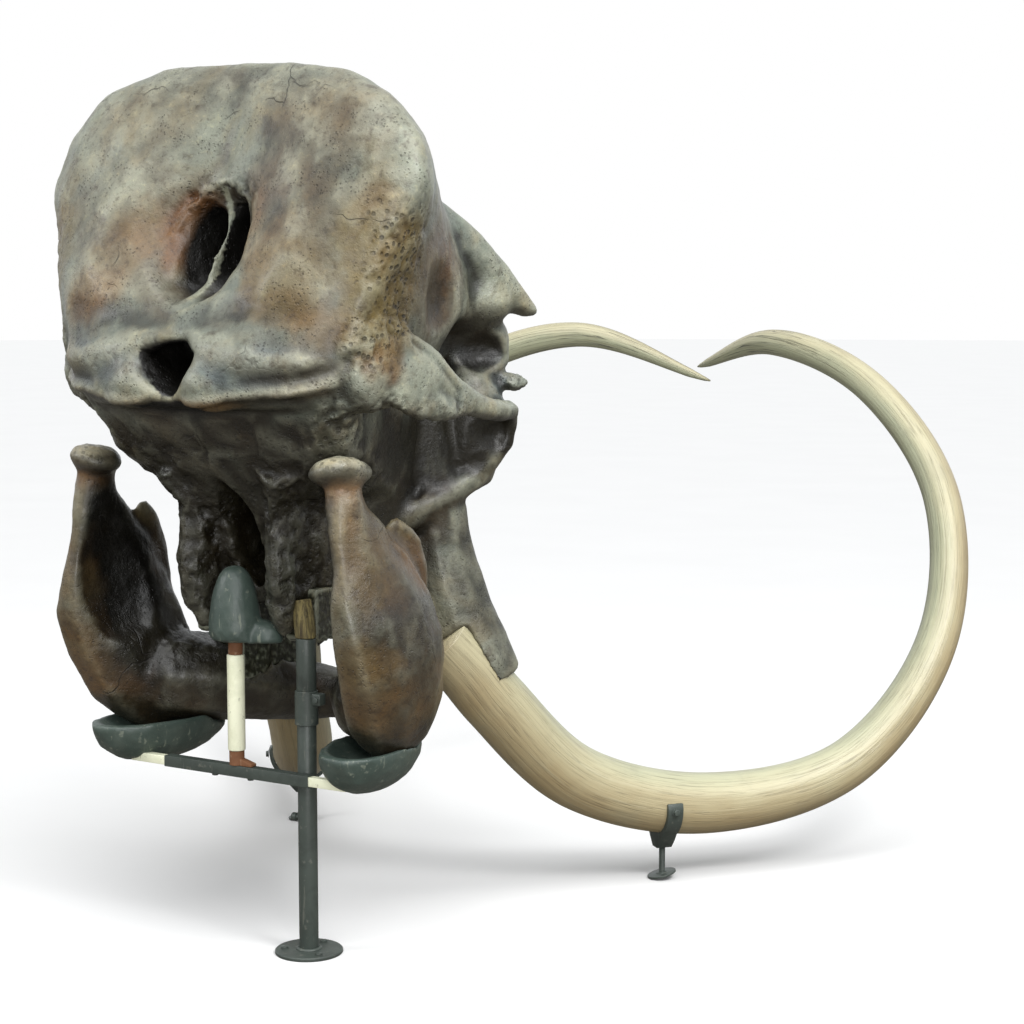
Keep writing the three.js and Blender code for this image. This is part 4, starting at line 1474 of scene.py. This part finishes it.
# ---- Tusks ---------------------------------------------------------------
class Spline:
    """A smooth curve through stations, centripetal like the solids' own paths."""

    def __init__(self, stations: list[tuple[float, ...]]) -> None:
        """Keeps the stations with a phantom one at each end.

        Args:
            stations: rows of numbers; the first three are the place.
        """
        rows = np.array(stations, float)
        self.rows = np.vstack([2 * rows[0] - rows[1], rows, 2 * rows[-1] - rows[-2]])
        self.spans = len(stations) - 1

    def at(self, share: float) -> np.ndarray:
        """The station at a share of the way along.

        Args:
            share: from 0 to 1.

        Returns:
            The row of numbers there.
        """
        spot = min(share, 1.0) * self.spans
        first = min(int(spot), self.spans - 1)
        return self.between(first, spot - first)

    def between(self, first: int, share: float) -> np.ndarray:
        """The row at a share of one span."""
        before, start, end, after = self.rows[first : first + 4]
        pairs = ((before, start), (start, end), (end, after))
        gaps = [np.linalg.norm(b[:3] - a[:3]) ** 0.5 for a, b in pairs]
        left, middle, right = gaps
        leave = (start - before) / left - (end - before) / (left + middle) + (end - start) / middle
        reach = (end - start) / middle - (after - start) / (middle + right) + (after - end) / right
        leave, reach = leave * middle, reach * middle
        square = -3 * start + 3 * end - 2 * leave - reach
        cube = 2 * start - 2 * end + leave + reach
        return start + share * (leave + share * (square + share * cube))


@dataclass
class Tusk:
    """A curved tusk, swept smoothly from its socket to its worn tip."""

    side: Side
    around: int = 48
    steps: int = 260
    stations: tuple[tuple[float, float, float, float], ...] = (
        (225, -440, 640, 76),
        (262, -495, 570, 79),
        (304, -558, 480, 80),
        (418, -752, 271, 80),
        (638, -1025, 180, 76),
        (891, -1315, 256, 63),
        (1026, -1567, 542, 54),
        (963, -1752, 905, 49),
        (698, -1894, 1185, 45),
        (332, -2057, 1299, 38),
    )
    tips: dict[Side, tuple[float, float, float, float]] = field(
        default_factory=lambda: {Side.RIGHT: (-15, -2258, 1216, 9), Side.LEFT: (-62, -2190, 1176, 9)}
    )

    def path(self) -> Spline:
        """The tusk's centre line and radius on its own side."""
        hand = self.side.value
        lift = 16 if self.side is Side.LEFT else 0
        last = len(self.stations) - 1
        rows = [
            (hand * x, y, z + (lift if i == last else 0), r) for i, (x, y, z, r) in enumerate(self.stations)
        ]
        x, y, z, r = self.tips[self.side]
        return Spline([*rows, (hand * x, y, z, r)])

    def build(self, finish: bpy.types.Material) -> bpy.types.Object:
        """Sweeps, stains and dresses the tusk.

        Args:
            finish: the ivory's material.

        Returns:
            The finished piece.
        """
        name = f"tusk_{self.side.label}"
        piece = self.sweep(f"{name}_ivory")
        self.paint(piece)
        return dress(piece, finish, "ivory", name)

    def sweep(self, name: str) -> bpy.types.Object:
        """Sweeps a ring along the centre line, with a rounded tip and flat root.

        Args:
            name: name of the piece.

        Returns:
            The swept piece.
        """
        path = self.path()
        mesh = bmesh.new()
        grain = mesh.verts.layers.float_vector.new("grain")
        rings, length, last = [], 0.0, None
        across = Vector((1, 0, 0))
        for step in range(self.steps + 1):
            share = step / self.steps
            row, ahead = path.at(share), path.at(min(share + 1e-3, 1.0)) - path.at(max(share - 1e-3, 0.0))
            along = Vector(ahead[:3]).normalized()
            across = (across - along * across.dot(along)).normalized()
            over = along.cross(across)
            centre = Vector((row[0] + MIDLINE, row[1], row[2])) * MM
            length += 0.0 if last is None else (centre - last).length
            last = centre
            end = min(1.0, math.sqrt(max(0.0, (1 - share) * self.steps / 4)))
            radius = row[3] * MM * (0.25 + 0.75 * end)
            ring = []
            for k in range(self.around):
                angle = 2 * math.pi * k / self.around
                spoke = across * math.cos(angle) + over * math.sin(angle)
                vert = mesh.verts.new(centre + spoke * radius * self.flute(angle, length))
                vert[grain] = (math.cos(angle) * 0.16, math.sin(angle) * 0.16, length * 0.07)
                ring.append(vert)
            rings.append(ring)
        for low, high in zip(rings[:-1], rings[1:]):
            for k in range(self.around):
                mesh.faces.new((low[k], low[k - 1], high[k - 1], high[k]))
        mesh.faces.new(rings[0])
        mesh.faces.new(reversed(rings[-1]))
        data = bpy.data.meshes.new(name)
        bmesh.ops.recalc_face_normals(mesh, faces=mesh.faces)
        mesh.to_mesh(data)
        mesh.free()
        piece = bpy.data.objects.new(name, data)
        bpy.context.scene.collection.objects.link(piece)
        return piece

    def flute(self, angle: float, length: float) -> float:
        """The slight lengthwise flutes and swellings of the ivory, as a factor of its radius."""
        wave = 0.010 * math.sin(3 * angle + 1.3 * length) + 0.006 * math.sin(7 * angle - 2.1 * length + 1.0)
        return 0.985 + wave * 0.8 + 0.004 * math.sin(9.0 * length)

    def paint(self, piece: bpy.types.Object) -> None:
        """Stains the ivory: pale green inside, partly as painted highlight, a painted highlight on its upper
        faces, golden outside, dark at the tip.
        """
        clay = Clay(piece, 41 + self.side.value)
        facing = clay.normals()
        clay.stain(np.ones(len(clay.points)), Pigment.STRAW)
        centre = np.array((0.0, -1250.0, 700.0))
        inward = centre - clay.points
        inward[:, 0] = 450 * self.side.value - clay.points[:, 0]
        inward /= np.linalg.norm(inward, axis=1, keepdims=True)
        inner = np.einsum("ij,ij->i", inward, facing)
        streaks = clay.grain.cloud(clay.points, 160.0, 4)
        # Pale green on the inner side: partly the ivory's own colour, partly painted highlight.
        clay.stain(0.75 * np.clip(inner * 1.4 + 0.5 * streaks, 0, 1), Pigment.MOSS)
        clay.stain(0.65 * np.clip(-inner * 1.2 - 0.1 + 0.5 * streaks, 0, 1), Pigment.GOLD)
        # Painted highlight, cream, on the faces that look up.
        clay.stain(0.5 * np.clip(facing[:, 2] - 0.3, 0, 1), Pigment.CREAM)
        tip = np.clip((-1900 - clay.points[:, 1]) / 200, 0, 1)
        clay.stain(0.45 * tip * np.clip(-inner, 0, 1), Pigment.UMBER)
        clay.porous = np.clip(0.15 + tip, 0, 1)
        clay.keep()


# ---- Stand ---------------------------------------------------------------
@dataclass
class MainPost:
    """The post: floor flange, lower tube, clamp sleeve, upper tube and wooden wedge."""

    flange_radius: float = 0.0748
    flange_height: float = 0.0079
    screw_circle: float = 0.054
    post_radius: float = 0.0211
    sleeve_radius: float = 0.0258
    sleeve_low: float = 0.5093
    sleeve_top: float = 0.585

    def build(self, steel: bpy.types.Material, wood: bpy.types.Material) -> None:
        """Builds the post from the floor up.

        Args:
            steel: dark paint.
            wood: the wedge's material.
        """
        self.flange(steel)
        self.tubes(steel)
        self.sleeve(steel)
        self.knob(steel)
        self.wedge(wood)

    def flange(self, steel: bpy.types.Material) -> None:
        """The floor flange with its weld bead and screws."""
        rim, top = self.flange_radius, self.flange_height
        edge = [(rim - 0.001, 0), (rim, 0.001), (rim, top - 0.0022), (rim - 0.0024, top)]
        disc = turned("disc_plate", edge, 72)
        bpy.ops.object.select_all(action="DESELECT")
        bpy.ops.mesh.primitive_torus_add(
            major_radius=self.post_radius + 0.0028,
            minor_radius=0.0042,
            major_segments=96,
            minor_segments=12,
            location=(0, 0, top + 0.0006),
        )
        bead = settle(named("bead"))
        ripple(bead, 0.0006, 34)
        screws = []
        for angle in (30, 150, 270):
            turn = math.radians(angle)
            screw = hex_bolt("screw", 0.0085, 0.0042, 0.004)
            x, y = self.screw_circle * math.cos(turn), self.screw_circle * math.sin(turn)
            screws.append(aimed(screw, Vector((x, y, top + 0.0007)), UP))
        piece = welded("floor_flange_plate", [disc, bead, *screws])
        dress(smooth(piece), steel, "steel", "floor_flange")

    def tubes(self, steel: bpy.types.Material) -> None:
        """The two tubes of the post."""
        lower = turned("main_post_tube", [(self.post_radius, 0.0083), (self.post_radius, 0.509)], 64)
        dress(smooth(rounded(lower, 0.0006)), steel, "steel", "main_post")
        upper = turned("upper_post_tube", [(0.0219, 0.5853), (0.0219, 0.6985), (0.0205, 0.6999)], 64)
        dress(smooth(rounded(upper, 0.0005)), steel, "steel", "upper_post")

    def sleeve(self, steel: bpy.types.Material) -> None:
        """The clamp sleeve with its lug and screw."""
        wide, low, top = self.sleeve_radius, self.sleeve_low, self.sleeve_top
        profile = [
            (wide - 0.0015, low),
            (wide, low + 0.0015),
            (wide, top - 0.010),
            (wide - 0.0006, top - 0.0095),
            (wide - 0.0006, top - 0.0015),
            (wide - 0.002, top),
        ]
        ring = turned("ring", profile, 64)
        lug = rounded(box("lug", (-0.0438, -0.0118, 0.5552), (-0.016, 0.0118, 0.5808)), 0.003, 3)
        screw = hex_bolt("screw", 0.0075, 0.005, 0.030)
        aimed(screw, Vector((-0.035, 0.0132, 0.568)), Vector((0, 1, 0)))
        piece = welded("post_sleeve_clamp", [ring, lug, screw])
        dress(smooth(piece), steel, "steel", "post_sleeve")

    def knob(self, steel: bpy.types.Material) -> None:
        """The thumb screw in the side of the lower tube."""
        shape = [(0.0045, 0), (0.0045, 0.007), (0.0088, 0.0085), (0.0088, 0.018), (0.0076, 0.0198)]
        screw = turned("thumb_screw_knob", shape, 24)
        aimed(screw, Vector((0.0215, 0, 0.3)), Vector((1, 0, 0)))
        dress(smooth(rounded(screw, 0.0005)), steel, "steel", "thumb_screw")

    def wedge(self, wood: bpy.types.Material) -> None:
        """The rough wooden wedge under the palate."""
        piece = cast_of("head_wedge", "head_wedge_block")
        modified(piece, "REMESH", mode="VOXEL", voxel_size=0.002)
        clay = Clay(piece, 51)
        clay.relax(6)
        clay.swell(clay.normals(), 1.4, 24.0, 3)
        clay.points[:, 2] = np.maximum(clay.points[:, 2], 700.4)
        clay.keep()
        dress(piece, wood, "wood", "head_wedge")


def ripple(piece: bpy.types.Object, height: float, lobes: int) -> None:
    """Gives a weld bead its overlapping beads.

    Args:
        piece: the bead, round Z.
        height: how far they stand up, in metres.
        lobes: their number.
    """
    for vert in piece.data.vertices:
        turn = math.atan2(vert.co.y, vert.co.x)
        vert.co += vert.normal * height * abs(math.sin(turn * lobes / 2))
    piece.data.update()


@dataclass
class CrossBar:
    """The square bar under the jaw, its arms, its screws and the two cradles."""

    y: float = 0.034
    z: float = 0.394
    half: float = 0.0124
    left: float = 0.368
    right: float = -0.036
    seed: int = 61

    def build(
        self, steel: bpy.types.Material, cream: bpy.types.Material, padding: bpy.types.Material
    ) -> None:
        """Builds the bar and what it carries.

        Args:
            steel: dark paint.
            cream: pale paint.
            padding: the cradles' material.
        """
        low = (self.right, self.y - self.half, self.z - self.half)
        high = (self.left, self.y + self.half, self.z + self.half)
        bar = box("cross_bar_tube", low, high)
        self.hollow(bar)
        dress(smooth(rounded(bar, 0.0012, 3)), steel, "steel", "cross_bar")
        for number, x in ((1, 0.230), (2, 0.130)):
            screw = hex_bolt(f"bar_screw_{number}_bolt", 0.0078, 0.0046, 0.004)
            aimed(screw, Vector((x, self.y, self.z - self.half - 0.0012)), Vector((0, 0, -1)))
            dress(smooth(screw), steel, "steel", f"bar_screw_{number}")
        for side in Side:
            self.arm(side, cream)
            self.cradle(side, padding)

    def hollow(self, bar: bpy.types.Object) -> None:
        """Opens both ends of the bar and gives it a wall."""
        alone(bar)
        for face in bar.data.polygons:
            face.select = abs(face.normal.x) > 0.9
        bpy.ops.object.mode_set(mode="EDIT")
        bpy.ops.mesh.select_mode(type="FACE")
        bpy.ops.mesh.delete(type="FACE")
        bpy.ops.object.mode_set(mode="OBJECT")
        modified(bar, "SOLIDIFY", thickness=0.002, offset=-1.0)

    def arm(self, side: Side, cream: bpy.types.Material) -> None:
        """The pale arm that slides in the bar and carries a cradle."""
        node = f"cradle_arm_{side.label}"
        low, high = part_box(node)
        bar = box(f"{node}_bar", tuple(low), tuple(high))
        dress(smooth(rounded(bar, 0.0014, 3)), cream, "cream_paint", node)

    def cradle(self, side: Side, padding: bpy.types.Material) -> None:
        """The boat-shaped cradle under one side of the jaw."""
        node = f"jaw_cradle_{side.label}"
        piece = cast_of(node, f"{node}_cup")
        modified(piece, "SUBSURF", levels=1, render_levels=1)
        modified(piece, "REMESH", mode="VOXEL", voxel_size=0.0038)
        clay = Clay(piece, self.seed + side.value)
        clay.relax(10)
        facing = clay.normals()
        clay.swell(facing, 1.2, 60.0, 3)
        clay.keep()
        dress(piece, padding, "padding", node)


@dataclass
class Prop:
    """The cream prop with its rusty ferrules and the carved pad on it."""

    x: float = 0.168
    y: float = 0.034

    def build(self, cream: bpy.types.Material, rust: bpy.types.Material, padding: bpy.types.Material) -> None:
        """Builds the prop from the bar up.

        Args:
            cream: pale paint.
            rust: rusty steel.
            padding: the pad's material.
        """
        foot = turned("collar", [(0.0155, 0.4069), (0.0168, 0.4080), (0.0168, 0.4385), (0.0155, 0.4397)], 48)
        toe = box("toe", (self.x - 0.047, self.y - 0.0095, 0.4069), (self.x, self.y + 0.0095, 0.4200))
        self.slope(toe)
        aimed(foot, Vector((self.x, self.y, 0)), UP)
        collar = welded("prop_ferrule_lower_shoe", [foot, rounded(toe, 0.0016, 3)])
        dress(smooth(collar), rust, "rust", "prop_ferrule_lower")
        shaft = [(0.0180, 0.4402), (0.0194, 0.4415), (0.0194, 0.6525), (0.0182, 0.6539)]
        self.upright("prop_tube_shaft", shaft, cream, "cream_paint", "prop_tube")
        ring = [(0.0150, 0.6544), (0.0159, 0.6553), (0.0159, 0.6828), (0.0150, 0.6836)]
        self.upright("prop_ferrule_upper_ring", ring, rust, "rust", "prop_ferrule_upper")
        self.pad(padding)

    def slope(self, toe: bpy.types.Object) -> None:
        """Slopes the top of the toe down to its end."""
        for vert in toe.data.vertices:
            if vert.co.z > 0.415 and vert.co.x < self.x - 0.02:
                vert.co.z = 0.4135
            elif vert.co.z > 0.415:
                vert.co.z = 0.4262
        toe.data.update()

    def upright(
        self, name: str, profile: list[tuple[float, float]], paint: bpy.types.Material, slot: str, node: str
    ) -> None:
        """Stands one round piece of the prop on its axis."""
        piece = aimed(turned(name, profile, 56), Vector((self.x, self.y, 0)), Vector((0, 0, 1)))
        dress(smooth(rounded(piece, 0.0005)), paint, slot, node)

    def pad(self, padding: bpy.types.Material) -> None:
        """The dome-shaped pad under the palate."""
        piece = cast_of("prop_pad", "prop_pad_dome")
        modified(piece, "SUBSURF", levels=1, render_levels=1)
        modified(piece, "REMESH", mode="VOXEL", voxel_size=0.0028)
        clay = Clay(piece, 71)
        clay.relax(12)
        clay.swell(clay.normals(), 1.0, 40.0, 3)
        clay.keep()
        dress(piece, padding, "padding", "prop_pad")


@dataclass
class TuskFoot:
    """The foot of a tusk: saddle strap, screw, threaded rod and tilted disc."""

    side: Side
    share: float = 0.3665
    tilt: float = 14.0

    def build(self, steel: bpy.types.Material) -> None:
        """Builds the foot from the floor up.

        Args:
            steel: dark paint.
        """
        row = Tusk(self.side).path().at(self.share)
        centre = Vector((row[0] + MIDLINE, row[1], row[2])) * MM
        self.disc(centre, steel)
        self.rod(centre, steel)
        self.saddle(steel)
        self.bolt(steel)

    def disc(self, centre: Vector, steel: bpy.types.Material) -> None:
        """The tilted disc on the floor with its boss."""
        name = f"tusk_foot_{self.side.label}"
        low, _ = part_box(name)
        profile = [
            (0.0352, 0.0),
            (0.0359, 0.0008),
            (0.0359, 0.0042),
            (0.0350, 0.0050),
            (0.0140, 0.0052),
            (0.0136, 0.0070),
        ]
        plate = turned(f"{name}_disc", profile, 56)
        turn = Matrix.Rotation(math.radians(31), 4, "Z") @ Matrix.Rotation(math.radians(self.tilt), 4, "Y")
        plate.data.transform(turn)
        lowest = min(vert.co.z for vert in plate.data.vertices)
        plate.data.transform(Matrix.Translation((centre.x, centre.y, low.z - lowest)))
        dress(smooth(rounded(plate, 0.0004)), steel, "steel", name)

    def rod(self, centre: Vector, steel: bpy.types.Material) -> None:
        """The threaded rod."""
        name = f"tusk_rod_{self.side.label}"
        low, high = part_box(name)
        profile = []
        turns = int((high.z - low.z) / 0.002)
        for k in range(turns):
            rise = low.z + 0.0005 + k * (high.z - low.z - 0.001) / turns
            profile += [(0.0079, rise), (0.0071, rise + 0.001)]
        shaft = aimed(turned("shaft", profile, 24), Vector((centre.x, centre.y, 0)), UP)
        piece = welded(f"{name}_thread", [shaft])
        dress(smooth(piece, 60.0), steel, "steel", name)

    def saddle(self, steel: bpy.types.Material) -> None:
        """The saddle strap and its block."""
        name = f"tusk_saddle_{self.side.label}"
        piece = cast_of(name, f"{name}_strap")
        alone(piece)
        bpy.ops.object.mode_set(mode="EDIT")
        bpy.ops.mesh.select_all(action="SELECT")
        bpy.ops.mesh.dissolve_limited(angle_limit=math.radians(2))
        bpy.ops.object.mode_set(mode="OBJECT")
        dress(smooth(rounded(piece, 0.0012, 2), 50.0), steel, "steel", name)

    def bolt(self, steel: bpy.types.Material) -> None:
        """The screw head on the saddle's outer arm."""
        name = f"saddle_bolt_{self.side.label}"
        low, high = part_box(name)
        middle = (low + high) / 2
        path = Tusk(self.side).path()
        ahead = Vector((path.at(self.share + 0.001) - path.at(self.share - 0.001))[:3])
        hand = self.side.value
        across = hand * ahead.x * math.copysign(1, -ahead.y)
        outward_axis = Vector((hand * abs(ahead.y), across, 0)).normalized()
        head = hex_bolt(f"{name}_head", 0.0088, 0.0066, 0.0012)
        aimed(head, middle - outward_axis * 0.0026, outward_axis)
        dress(smooth(head), steel, "steel", name)


# ---- Studio --------------------------------------------------------------
@dataclass
class Studio:
    """Plain pale floor, soft light and the camera."""

    camera_at: Point = (-2.734, 3.6052, 1.448)
    looks: Point = (0.5225, -0.8526, 0.0)
    pitch: float = 6.0
    lens: float = 73.8
    sky: float = 0.36
    shimmer: float = 0.95
    overhead: float = 2.5

    def build(self) -> None:
        """Lays the floor, hangs the lights and sets the camera."""
        self.floor()
        self.world()
        self.dome_light()
        self.softbox("key", (-3.2, 0.6, 3.4), (0.1, -0.2, 1.3), 1.2, 80.0)
        self.softbox("left", (2.8, 2.6, 3.0), (0.2, 0.0, 1.2), 1.2, 45.0)
        self.softbox("fill", (-4.6, 5.4, 1.6), (0.1, -0.2, 0.7), 2.4, 170.0)
        self.camera()
        bpy.context.scene.view_settings.view_transform = "Standard"

    def floor(self) -> None:
        """The pale floor, which throws little light back at the undersides."""
        bpy.ops.object.select_all(action="DESELECT")
        bpy.ops.mesh.primitive_circle_add(
            vertices=64, radius=60.0, fill_type="NGON", location=(0, 0, -0.0005)
        )
        ground = settle(named("floor"))
        sheet = NodeSheet("floor_pale")
        seen = sheet.tree.nodes.new("ShaderNodeLightPath").outputs["Is Camera Ray"]
        dusty = sheet.mix(sheet.noise(1.5, 3.0), (0.88, 0.88, 0.88), (0.92, 0.92, 0.92))
        ground.data.materials.append(sheet.finish(sheet.mix(seen, (0.22, 0.21, 0.19), dusty), 1.0))
        sheet.shader.inputs["Specular IOR Level"].default_value = 0.0

    def world(self) -> None:
        """Even pale light from all round."""
        sky = bpy.data.worlds.new("studio")
        bpy.context.scene.world = sky
        sky.use_nodes = True
        nodes, links = sky.node_tree.nodes, sky.node_tree.links
        shown = nodes["Background"]
        shown.inputs["Color"].default_value = (1, 1, 1, 1)
        shown.inputs["Strength"].default_value = 1.0
        cast = nodes.new("ShaderNodeBackground")
        cast.inputs["Color"].default_value = (0.95, 0.98, 1.0, 1)
        seen = nodes.new("ShaderNodeLightPath")
        gleam = nodes.new("ShaderNodeMapRange")
        links.new(seen.outputs["Is Glossy Ray"], gleam.inputs["Value"])
        gleam.inputs["To Min"].default_value = self.sky
        gleam.inputs["To Max"].default_value = self.shimmer
        links.new(gleam.outputs[0], cast.inputs["Strength"])
        choose = nodes.new("ShaderNodeMixShader")
        links.new(seen.outputs["Is Camera Ray"], choose.inputs[0])
        links.new(cast.outputs[0], choose.inputs[1])
        links.new(shown.outputs[0], choose.inputs[2])
        links.new(choose.outputs[0], nodes["World Output"].inputs[0])

    def dome_light(self) -> None:
        """The broad light overhead, so wide that its shadows have no edge."""
        lamp = bpy.data.lights.new("overhead", "SUN")
        lamp.energy = self.overhead
        lamp.angle = math.radians(60)
        holder = bpy.data.objects.new("overhead", lamp)
        bpy.context.scene.collection.objects.link(holder)
        holder.rotation_euler = Vector((0.36, -0.42, -1.0)).to_track_quat("-Z", "Y").to_euler()

    def softbox(self, name: str, at: Point, target: Point, size: float, power: float) -> None:
        """Hangs one soft square light.

        Args:
            name: its name.
            at: its place.
            target: the point that it faces.
            size: length of its side.
            power: its power in watts.
        """
        lamp = bpy.data.lights.new(name, "AREA")
        lamp.size = size
        lamp.energy = power
        holder = bpy.data.objects.new(name, lamp)
        bpy.context.scene.collection.objects.link(holder)
        holder.location = at
        holder.rotation_euler = (Vector(target) - Vector(at)).to_track_quat("-Z", "Y").to_euler()

    def camera(self) -> None:
        """Sets the camera."""
        lens = bpy.data.cameras.new("camera")
        lens.lens = self.lens
        lens.sensor_width = 36.0
        lens.clip_end = 200.0
        holder = bpy.data.objects.new("camera", lens)
        bpy.context.scene.collection.objects.link(holder)
        holder.location = self.camera_at
        dip = math.radians(self.pitch)
        aim = Vector((self.looks[0] * math.cos(dip), self.looks[1] * math.cos(dip), -math.sin(dip)))
        holder.rotation_euler = aim.to_track_quat("-Z", "Y").to_euler()
        bpy.context.scene.camera = holder


def main() -> None:
    """Builds every piece in order."""
    logging.basicConfig(level=logging.INFO, format="%(name)s: %(message)s")
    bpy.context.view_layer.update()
    steel = PaintFinish("steel_paint", (0.26, 0.29, 0.27), (0.50, 0.50, 0.46), (0.16, 0.18, 0.17)).material()
    cream = PaintFinish(
        "cream_paint", (0.975, 0.98, 0.87), (0.60, 0.60, 0.50), (0.84, 0.85, 0.72), 0.6
    ).material()
    rust = PaintFinish(
        "rusty_steel", (0.48, 0.32, 0.21), (0.70, 0.60, 0.50), (0.30, 0.18, 0.11), 0.4, 0.75, 0.0012
    ).material()
    padding = PaintFinish(
        "dark_padding", (0.235, 0.285, 0.262), (0.56, 0.58, 0.52), (0.33, 0.37, 0.34), 0.45, 0.40, 0.0008
    ).material()
    enamel = BoneFinish("tooth_enamel", 0.30, 0.4).material()
    Cranium().build(BoneFinish("skull_bone").material())
    LOG.info("cranium")
    Mandible().build(BoneFinish("jaw_bone", 0.30, 0.8, 0.35).material())
    LOG.info("mandible")
    Molars().build(enamel)
    LOG.info("molars")
    ivory = IvoryFinish("tusk_ivory").material()
    for side in Side:
        Tusk(side).build(ivory)
        TuskFoot(side).build(steel)
        LOG.info("%s tusk and its foot", side.label)
    MainPost().build(steel, WoodFinish("split_wood").material())
    LOG.info("main post")
    CrossBar().build(steel, cream, padding)
    LOG.info("cross bar and cradles")
    Prop().build(cream, rust, padding)
    LOG.info("prop")
    Studio().build()


if __name__ == "__main__":
    main()
